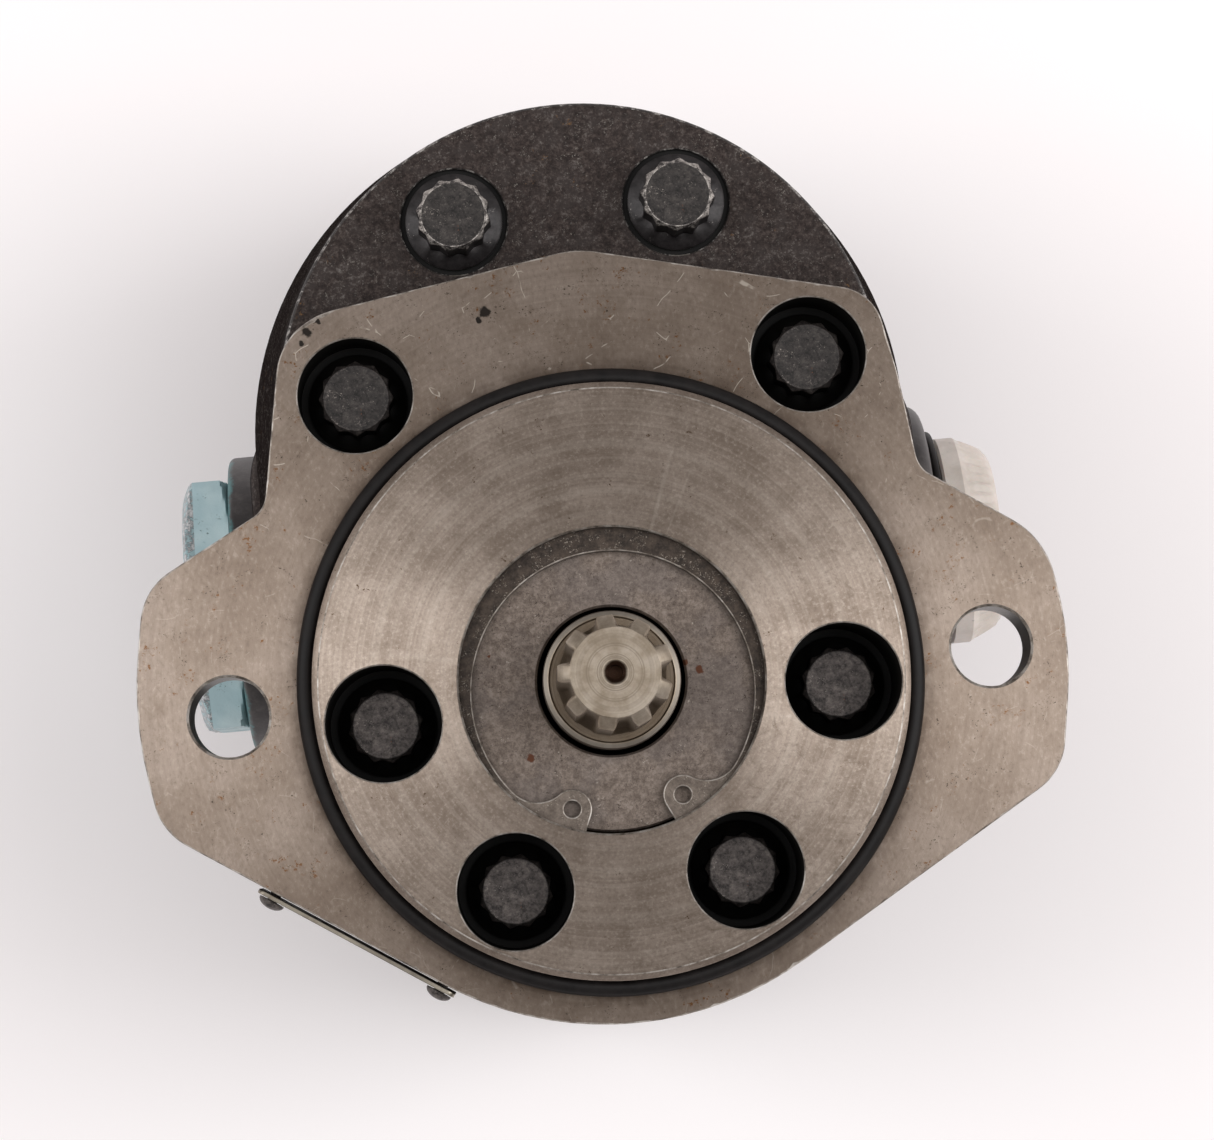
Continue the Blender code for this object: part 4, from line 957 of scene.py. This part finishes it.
def front_cover_zone(centre, normal):
    """Which finish a face of the front cover has, from where it is and which way it looks."""
    from_axis = math.hypot(centre.x, centre.y)
    to_bolt = min(math.dist(centre.xy, place) for place in bolt_places())
    to_ear = math.dist((abs(centre.x), centre.y), (EAR_HOLE_X, 0))
    level = normal.z > 0.95
    chamfer = 0.2 < normal.z < 0.95
    if level and abs(centre.z - FLANGE_Z) < 0.02:
        return GROUND
    if level and abs(centre.z - PILOT_Z) < 0.02:
        return TURNED
    if from_axis < RING_GROOVE_RADIUS + 1 and centre.z > SEAL_BORE_FLOOR_Z - 0.1:
        return EDGE if chamfer else RECESS
    if to_bolt < COUNTERBORE_RADIUS + 0.4 and centre.z < PILOT_Z - 0.01 and normal.z < 0.95:
        if not chamfer:
            return BORE
        return WORN if centre.y > 60 else EDGE
    if to_bolt < COUNTERBORE_RADIUS and centre.z < BOLT_SEAT_Z + 0.1:
        return BORE
    if to_ear < EAR_HOLE_RADIUS + 0.5 and centre.z > FLANGE_BACK_Z - 0.1 and normal.z < 0.95:
        return EDGE if chamfer else RECESS
    if from_axis < PILOT_RADIUS + 0.1 and centre.z > FLANGE_Z:
        return EDGE if chamfer and centre.z > PILOT_Z - 0.1 else TURNED
    if centre.z > FLANGE_Z - 1.6 and normal.z > 0.15:
        return EDGE
    if DECK_Z - 1.0 < centre.z < DECK_Z and 0.25 < normal.z < 0.97:
        return WORN
    return CAST


def make_gear_housing(finishes):
    low, high = REAR_JOINT_Z + GAP, FRONT_JOINT_Z
    body = barrel(BODY_RADIUS, low + 0.5, high - 0.5)
    body = [(BODY_RADIUS - 0.5, low)] + body + [(BODY_RADIUS - 0.5, high)]
    housing = work_object(edged_stadium(body))

    low_y, high_y, corner = -10, 50, 14
    right = [(PAD_HALF_WIDTH, y, corner) for y in (low_y, high_y)]
    left = [(-PAD_HALF_WIDTH, y, corner) for y in (high_y, low_y)]
    outline = rounded(right + left)
    edge = ((-1.8, 0), (-0.9, 0.24), (-0.24, 0.9), (0, 1.8))
    levels = [(offset(outline, inset), low + 0.8 + rise) for inset, rise in edge]
    levels += [(offset(outline, inset), high - 0.8 - rise) for inset, rise in reversed(edge)]
    combine(housing, stack(levels), "UNION")

    for side, corner, (radius, face_x) in ((1, 2.4, RIGHT_BOSS), (-1, 1.0, LEFT_BOSS)):
        profile = [(radius, PAD_HALF_WIDTH - 8)] + quarter(radius - corner, face_x - corner, corner, 0, 90, 7)
        combine(housing, lay_along_x(turned(profile), side), "UNION")

    below, above = low - GAP - OVERCUT, high + OVERCUT
    bm = prism(figure_eight(TIP_RADIUS + GAP), below, above)
    drill_bolts(bm, below, above)
    drill_dowels(bm, REAR_JOINT_Z, FRONT_JOINT_Z)
    combine(housing, bm, "DIFFERENCE")

    bm = bmesh.new()
    for side, (_, face_x) in ((1, RIGHT_BOSS), (-1, LEFT_BOSS)):
        port = barrel(9.5, 8, face_x - 22) + barrel(PORT_RADIUS, face_x - 20, face_x - 2.6)
        port += barrel(PORT_RADIUS + 1.5, face_x, face_x + OVERCUT)
        first = len(bm.verts)
        turned(port, MEDIUM, bm=bm)
        lay_along_x(bm, side, first)
    outer, inner = stadium(25.6 + 1.15), stadium(25.6 - 1.15)
    for joint_z, depth in ((FRONT_JOINT_Z, 2.2), (REAR_JOINT_Z, 2.5)):
        floor, mouth = joint_z - depth, joint_z + depth
        stack([(outer, floor), (outer, mouth), (inner, mouth), (inner, floor)], closed=True, bm=bm)
    combine(housing, bm, "DIFFERENCE")
    piece(housing, "gear_housing_casting", ["gear_housing"], finishes, housing_zone)


def housing_zone(centre, normal):
    """1 for the machined end and side of a port boss and for the port's wall, 0 for cast skin."""
    from_port = math.hypot(centre.y - PITCH_RADIUS, centre.z - PORT_Z)
    radius = (RIGHT_BOSS if centre.x > 0 else LEFT_BOSS)[0]
    on_end = abs(centre.x) > PAD_HALF_WIDTH + 0.05
    on_side = abs(centre.x) > 40 and abs(from_port - radius) < 0.2 and abs(normal.x) < 0.9
    in_port = abs(centre.x) < 48 and from_port < PORT_RADIUS
    return 1 if on_end or on_side or in_port else 0


def make_rear_cover(finishes):
    profile = quarter(BODY_RADIUS - 2.4, -2.4, 2.4, 90, 0, 6)
    profile = [(radius, -z) for radius, z in profile]
    profile += [(BODY_RADIUS, REAR_JOINT_Z - 0.5), (BODY_RADIUS - 0.5, REAR_JOINT_Z)]
    cover = work_object(edged_stadium(profile))
    above = REAR_JOINT_Z + OVERCUT
    bm = bmesh.new()
    for y in (0, CENTRE_DISTANCE):
        bore = circle(BEARING_BORE_RADIUS, MEDIUM, 0, y)
        prism(bore, REAR_JOINT_Z - BUSHING_LENGTH - 2 * GAP, above, bm)
    drill_bolts(bm, 5, above)
    drill_dowels(bm, REAR_JOINT_Z)
    combine(cover, bm, "DIFFERENCE")
    piece(cover, "rear_cover_casting", ["rear_cover"], finishes)


# Shaft


def gear_outline(phase):
    """Involute teeth, with the middle of one in the direction of phase."""
    module = 2 * PITCH_RADIUS / TEETH
    base_radius = PITCH_RADIUS * math.cos(PRESSURE_ANGLE)
    half_tooth = math.pi / (2 * TEETH) - BACKLASH / (4 * PITCH_RADIUS)
    at_base = half_tooth + math.tan(PRESSURE_ANGLE) - PRESSURE_ANGLE
    flank = [(PITCH_RADIUS - 1.25 * module, at_base)]
    for radius in spread(base_radius, TIP_RADIUS, 8):
        roll = math.acos(min(1.0, base_radius / radius))
        flank.append((radius, at_base - math.tan(roll) + roll))
    points = []
    for tooth in range(TEETH):
        middle = phase + math.tau * tooth / TEETH
        side = [(radius, middle - angle) for radius, angle in flank]
        side += [(radius, middle + angle) for radius, angle in reversed(flank)]
        points += [at(radius, angle) for radius, angle in side]
    return points


# Half a spline tooth: share of its height, half width as a share of the pitch
SPLINE_FLANK = ((0.0, 0.50), (0.01, 0.42), (0.06, 0.355), (0.18, 0.322), (0.35, 0.298), (0.55, 0.270))
SPLINE_FLANK += ((0.75, 0.240), (0.93, 0.208), (1.0, 0.182))


def spline_outline(root, tip):
    """Nine teeth with curved flanks, filleted roots and slightly eased tips."""
    pitch = math.tau / SPLINE_TEETH
    side = [(height, -share) for height, share in SPLINE_FLANK]
    side += [(height, share) for height, share in reversed(SPLINE_FLANK[1:])]
    points = []
    for tooth in range(SPLINE_TEETH):
        middle = SPLINE_PHASE + pitch * tooth
        points += [at(root + (tip - root) * height, middle + share * pitch) for height, share in side]
    return points


def make_drive_shaft(finishes):
    inset = PLATE_THICKNESS + 2 * GAP
    shaft = work_object(prism(gear_outline(math.pi / 2), REAR_JOINT_Z + inset, FRONT_JOINT_Z - inset))

    step_z = FRONT_JOINT_Z + BUSHING_LENGTH + GAP
    journals = [(JOURNAL_RADIUS - 0.8, 4.5)] + barrel(JOURNAL_RADIUS, 5.3, step_z - 0.8)
    journals += barrel(SEAL_JOURNAL_RADIUS, step_z + 0.8, SHOULDER_Z - 0.3)
    shoulder = ((SEAL_JOURNAL_RADIUS - 0.12, 0), (8.95, 0.16), (8.75, 0.22), (8.6, 0.06), (8.5, 0.02))
    journals += [(radius, SHOULDER_Z + rise) for radius, rise in shoulder]
    journals += barrel(SPLINE_ROOT_RADIUS - 0.3, SHOULDER_Z + 0.02, SHOULDER_Z + 3.2)
    combine(shaft, turned(journals, 96), "UNION")

    root, tip = SPLINE_ROOT_RADIUS, SPLINE_TIP_RADIUS
    shallow = tip - 0.05
    levels = [(spline_outline(shallow, tip), SHOULDER_Z - 1)]
    for share in spread(0, 1, 8):
        rise = 1 - math.sqrt(1 - (1 - share) ** 2 * 0.97)
        run_out = SHOULDER_Z + 1.0 + SPLINE_RUN_OUT * share
        levels.append((spline_outline(root + (shallow - root) * rise, tip), run_out))
    end = ((root, tip, 1.25), (root - 0.01, tip - 0.1, 1.1))
    end += ((root - 0.02, root + 0.06, 0.12), (root - 0.14, root - 0.12, 0))
    levels += [(spline_outline(foot, crest), SHAFT_END_Z - drop) for foot, crest, drop in end]
    combine(shaft, stack(levels), "UNION")

    centre_hole = [(1.0, SHAFT_END_Z - 3.2), (1.0, SHAFT_END_Z - 0.65), (2.3, SHAFT_END_Z + 0.65)]
    combine(shaft, turned(centre_hole, 48), "DIFFERENCE")
    piece(shaft, "splined_drive_shaft", ["drive_gear_shaft"], finishes, body="drive_shaft")


# Fasteners, rings and plugs


def twelve_point(angle):
    """Radius of two crossed hexagons, as a share of the radius at their corners."""
    step = math.pi / 6
    from_corner = abs(math.remainder(angle, step))
    return math.cos(step) / math.cos(step - from_corner)


def make_cover_bolts(finishes_at):
    """Twelve-point flange heads: a flat crown inside a cone that cuts the points back."""
    sides = 144
    seat = BOLT_SEAT_Z + GAP
    top = seat + BOLT_HEIGHT
    shoulder = seat + 1.6

    def head(limit):
        return polar(lambda angle: min(BOLT_POINT_RADIUS * twelve_point(angle), limit), sides)

    def cone_z(radius):
        return top - 0.06 - (radius - CROWN_RADIUS) * CROWN_CONE_SLOPE

    profile = [(BOLT_RADIUS - 0.5, 6.5)] + barrel(BOLT_RADIUS, 7.0, seat)
    profile += [(BOLT_COLLAR_RADIUS - 0.15, seat)] + barrel(BOLT_COLLAR_RADIUS, seat + 0.2, seat + 0.75)
    profile += [(BOLT_COLLAR_RADIUS - 0.2, seat + 0.95), (BOLT_POINT_RADIUS + 0.05, shoulder)]
    crown = ((0.04, 0.01), (0.16, 0), (0.45, 0.04), (0.7, 0.06))
    uncut = head(BOLT_POINT_RADIUS + 1)
    levels = [(circle(radius, sides), z) for radius, z in profile]
    levels += [(uncut, shoulder + 0.15), (uncut, cone_z(BOLT_POINT_RADIUS) - 0.1)]
    levels += [(head(limit), cone_z(limit)) for limit in (5.22, 5.05, 4.9, 4.76, CROWN_RADIUS + 0.05)]
    levels += [(circle(CROWN_RADIUS - inset, sides), top - drop) for inset, drop in crown]

    def rule(centre, normal):
        if centre.z <= top - 0.9 or normal.z <= 0.3:
            return 2
        return 0 if math.hypot(centre.x, centre.y) < CROWN_RADIUS - 0.2 else 1

    for number, ((x, y), face_z) in enumerate(zip(bolt_places(), BOLT_FACES), 1):
        bm = stack(levels)
        turn = 0.61 * number + 0.2
        bmesh.ops.rotate(bm, verts=bm.verts, matrix=Matrix.Rotation(turn, 3, "Z"))
        name, nodes = f"twelve_point_bolt_{number}", [f"cover_bolt_{number}"]
        piece(work_object(bm), name, nodes, finishes_at[face_z], rule, (x, y, 0))


def make_pilot_o_ring(finishes):
    section = circle(O_RING_TUBE, 20, O_RING_RADIUS, FLANGE_Z + O_RING_TUBE + GAP)
    ring = work_object(turned(section, PILOT_SIDES, closed=True))
    piece(ring, "pilot_seal_ring", ["pilot_o_ring"], finishes)


def make_seal_washer(finishes):
    high = RING_Z - GAP
    low = high - WASHER_THICKNESS
    outer, inner = SEAL_BORE_RADIUS - GAP, SHAFT_HOLE_RADIUS
    upper = [(outer, high - 0.25), (outer - 0.25, high), (inner + 0.3, high), (inner, high - 0.3)]
    washer = work_object(turned([(inner, low), (outer, low)] + upper, SEAL_BORE_SIDES, closed=True))
    piece(washer, "recess_washer", ["seal_washer"], finishes)


def swept(about, radius, start, end, steps):
    """Arc round a point, the short way from the direction of start to the direction of end."""
    first = math.atan2(start.y - about.y, start.x - about.x)
    turn = math.remainder(math.atan2(end.y - about.y, end.x - about.x) - first, math.tau)
    return arc(radius, spread(first, first + turn, steps), about.x, about.y)


def half_ring_outline():
    """Right half of the ring: gap corner, round eye, hollow fillet, then the inner edge to the top."""
    middle, inner, eye = RING_INNER_CENTRE, RING_INNER_RADIUS, RING_EYE
    centre = Vector((0, 0))
    outward = math.atan2(eye.y, eye.x)
    corner = outward - math.asin(RING_EYE_RADIUS / RING_OUTER_RADIUS)
    to_eye, to_middle = RING_EYE_RADIUS + RING_FILLET, inner - RING_FILLET
    apart = (eye - middle).length
    along = (to_middle ** 2 - to_eye ** 2 + apart ** 2) / (2 * apart)
    aside = math.sqrt(to_middle ** 2 - along ** 2)
    axis = (eye - middle).normalized()
    hollow = middle + axis * along + Vector((-axis.y, axis.x)) * aside
    facing_gap = eye + Vector((math.sin(outward), -math.cos(outward)))
    points = [at(RING_OUTER_RADIUS, corner)]
    points += swept(eye, RING_EYE_RADIUS, facing_gap, centre, 10)
    points += swept(eye, RING_EYE_RADIUS, centre, hollow, 6)[1:]
    points += swept(hollow, RING_FILLET, eye, hollow + (hollow - middle), 12)[1:]
    points += swept(middle, inner, hollow, Vector((0, 40)), 70)[1:]
    return points


def make_retaining_ring(finishes):
    low, high = RING_Z, RING_Z + RING_THICKNESS
    right = half_ring_outline()
    left = [(-x, y) for x, y in reversed(right[:-1])]
    start = math.atan2(left[-1][1], left[-1][0]) % math.tau
    end = math.atan2(right[0][1], right[0][0])
    outline = right + left + arc(RING_OUTER_RADIUS, spread(start, end, 150)[1:-1])
    ring = work_object(prism(outline[::-1], low, high))
    bm = bmesh.new()
    for side in (1, -1):
        hole = circle(RING_EYE_HOLE_RADIUS, 40, side * RING_EYE.x, RING_EYE.y)
        prism(hole, low - OVERCUT, high + OVERCUT, bm)
    combine(ring, bm, "DIFFERENCE")
    bevel(ring, 0.2)
    ring.data.transform(Matrix.Rotation(RING_TURN, 4, "Z"))

    def rule(centre, normal):
        return 1 if 0.25 < normal.z < 0.95 else 0

    piece(ring, "internal_snap_ring", ["retaining_ring"], finishes, rule)


def plug_stem(head_start, sides):
    """Levels of a threaded stem, from its end up to the underside of the head."""
    low = head_start - 15
    core = circle(PORT_RADIUS - 1.9, sides)
    levels = [(core, low)]
    for turn in range(7):
        z = low + 1.2 + turn * THREAD_PITCH
        levels += [(circle(PORT_RADIUS - 1.0, sides), z), (circle(PORT_RADIUS - GAP, sides), z + 0.7)]
    return levels + [(core, head_start - 2.4), (core, head_start)]


def hexagon_radius(angle):
    return HEXAGON_FLATS / 2 / math.cos(math.remainder(angle - math.pi / 2, math.pi / 3))


def make_left_plug(finishes):
    sides = 144
    start, end = LEFT_BOSS[1] + GAP, HEXAGON_END

    def head(limit):
        return polar(lambda angle: min(hexagon_radius(angle), limit), sides)

    washer_face = ((19.3, start), (20.2, start + 0.3), (21.3, start + 0.7), (30, start + 1.0))
    crown = ((30, end - 2.0), (21.2, end - 1.6), (20.0, end - 1.1), (18.9, end - 0.62))
    crown += ((18.3, end - 0.3), (17.7, end - 0.1), (17.0, end))
    levels = plug_stem(start, sides) + [(head(limit), z) for limit, z in washer_face + crown]

    def rule(centre, normal):
        return 1 if centre.x < -60.1 and normal.x > -0.98 else 0

    plug = work_object(lay_along_x(stack(levels), -1))
    piece(plug, "hex_port_plug", ["left_port_plug"], finishes, rule)


def make_right_plug(finishes):
    sides = 288
    start = RIGHT_BOSS[1] + GASKET_THICKNESS + 2 * GAP
    end = RIBBED_PLUG_END

    def ribbed(radius, depth):
        return polar(lambda angle: radius - depth * (0.5 - 0.5 * math.cos(RIBS * angle)), sides)

    base = ((15.7, start), (16.1, start + 0.4), (16.1, 58.4), (15.85, 58.8))
    ribs = ((15.6, 0.1, 59.2), (15.5, 0.42, 59.5), (15.0, 0.45, 60.6))
    ribs += ((14.4, 0.45, 61.8), (13.95, 0.35, 62.6))
    top = ((13.5, 62.9), (13.1, 63.3), (12.5, 63.6), (12.0, end), (10.0, end), (9.7, end - 0.5))
    levels = plug_stem(start, sides)
    levels += [(circle(radius, sides), x) for radius, x in base]
    levels += [(ribbed(radius, depth), x) for radius, depth, x in ribs]
    levels += [(circle(radius, sides), x) for radius, x in top]
    plug = work_object(lay_along_x(stack(levels), 1))
    piece(plug, "ribbed_port_plug", ["right_port_plug"], finishes)


def make_plug_gasket(finishes):
    low = RIGHT_BOSS[1] + GAP
    high = low + GASKET_THICKNESS
    outer, inner = 17.0, 13.8
    rim = quarter(outer - GAP, low + 0.6, 0.7, -50, 50, 6)
    profile = [(inner, low), (outer, low)] + rim + [(outer, high), (inner, high)]
    gasket = work_object(lay_along_x(turned(profile, closed=True), 1))
    piece(gasket, "plug_face_gasket", ["right_plug_gasket"], finishes)


def on_plate_side(bm):
    """Moves a solid drawn with +Z outwards to the flange side that carries the name plate."""
    along = (PLATE_END - PLATE_START).normalized()
    columns = Matrix(((along.x, 0, along.y, 0), (along.y, 0, -along.x, 0), (0, 1, 0, 0), (0, 0, 0, 1)))
    columns.translation = (PLATE_START.x, PLATE_START.y, (FLANGE_Z + DECK_Z) / 2)
    bmesh.ops.transform(bm, matrix=columns, verts=bm.verts)
    return work_object(bm)


def make_name_plate(finishes, rivet_finishes):
    """Thin blank plate on two rivets."""
    length = (PLATE_END - PLATE_START).length
    half = PLATE_HALF_HEIGHT
    corners = [(0, -half, 1.0), (length, -half, 1.0), (length, half, 1.0), (0, half, 1.0)]
    plate = work_object(prism(resampled(rounded(corners), 0.9), GAP, GAP + PLATE_SHEET))
    stations = (RIVET_INSET, length - RIVET_INSET)
    bm = bmesh.new()
    for station in stations:
        prism(circle(1.1, 24, station, 0), -3, 3, bm)
    combine(plate, bm, "DIFFERENCE")
    bevel(plate, 0.1)
    plate = on_plate_side(taken_back(plate))
    piece(plate, "blank_name_plate", ["name_plate"], finishes)

    seat = 2 * GAP + PLATE_SHEET
    profile = [(0.7, -4), (0.8, -3.8), (0.8, seat), (1.85, seat)]
    for angle in map(math.radians, range(10, 90, 10)):
        profile.append((1.9 * math.cos(angle), seat + 1.1 * math.sin(angle)))
    for number, station in enumerate(stations, 1):
        bm = turned(profile, 40)
        bmesh.ops.translate(bm, verts=bm.verts, vec=(station, 0, 0))
        name, nodes = f"domed_rivet_{number}", [f"plate_rivet_{number}"]
        piece(on_plate_side(bm), name, nodes, rivet_finishes)


# Studio


def make_studio():
    scene = bpy.context.scene
    bpy.ops.mesh.primitive_grid_add(x_subdivisions=4, y_subdivisions=4, size=4)
    floor = bpy.context.object
    floor.name = "pale_floor"
    floor.data.materials.append(make_floor())

    camera = bpy.data.cameras.new("camera")
    camera.sensor_width = 36
    camera.lens = FOCAL_LENGTH
    camera_object = bpy.data.objects.new("camera", camera)
    camera_object.location = CAMERA_PLACE
    camera_object.rotation_mode = "ZYX"
    camera_object.rotation_euler = CAMERA_TURN
    scene.collection.objects.link(camera_object)
    scene.camera = camera_object

    for name, place, power in LAMPS:
        light = bpy.data.lights.new(name, "AREA")
        light.shape = "RECTANGLE"
        light.size, light.size_y = LAMP_SIZE
        light.energy = power
        lamp = bpy.data.objects.new(name, light)
        lamp.location = place
        lamp.rotation_euler = (LAMP_TARGET - lamp.location).to_track_quat("-Z", "Y").to_euler()
        scene.collection.objects.link(lamp)

    world = bpy.data.worlds.new("studio")
    world.use_nodes = True
    background = world.node_tree.nodes["Background"]
    background.inputs["Color"].default_value = WORLD_COLOUR
    background.inputs["Strength"].default_value = WORLD_STRENGTH
    scene.world = world
    scene.view_settings.view_transform = "Standard"


def main():
    cast = make_black_casting()
    bright = make_bright_edge()
    rubber = make_rubber()
    # Near black with painted shade, for the counterbore walls and the flanks of the bolts sunk in them
    black_with_painted_shade = make_dark_bore()
    # Lit and shaded copies of one crown: the lower the factor, the more painted shade
    sunk = make_bolt_crown("sunk_crown", 0.85)
    sunk_rim = make_bolt_crown("sunk_rim", 0.42)
    deck_crown = make_bolt_crown("deck_crown", 0.31)
    steel = make_shaft_steel()
    washer = make_washer_steel()
    spring = make_spring_steel()
    bronze = make_bronze()

    top_faces = [make_ground_face(), make_turned_face(), bright, make_worn_edge()]
    make_front_cover([cast, *top_faces, black_with_painted_shade, make_recess_wall()])
    make_gear_housing([cast, make_machined_black()])
    make_rear_cover([cast])
    make_drive_shaft([steel])
    make_cover_bolts({
        DECK_Z: [deck_crown, make_bolt_rim(), make_bolt_collar()],
        FLANGE_Z: [deck_crown, sunk_rim, black_with_painted_shade],
        PILOT_Z: [sunk, sunk_rim, black_with_painted_shade],
    })
    make_pilot_o_ring([rubber])
    make_seal_washer([washer])
    make_retaining_ring([spring, bright])
    make_left_plug([make_teal_paint(), make_chipped_teal()])
    make_right_plug([make_ivory_plastic()])
    make_plug_gasket([rubber])
    make_name_plate([make_plate_aluminium()], [sunk])

    kept = {
        "idler_gear_shaft": steel,
        "seal_case": washer,
        "seal_lip": rubber,
        "garter_spring": spring,
        "left_plug_o_ring": rubber,
    }
    for end in ("front", "rear"):
        for name in ("drive_bushing", "idler_bushing", "pressure_plate"):
            kept[f"{end}_{name}"] = bronze
        for name in ("pressure_seal", "section_seal"):
            kept[f"{end}_{name}"] = rubber
        for name in ("dowel_1", "dowel_2"):
            kept[f"{end}_{name}"] = steel
    for name, material in kept.items():
        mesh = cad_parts[name].data
        mesh.materials.clear()
        mesh.materials.append(material)

    make_studio()


main()
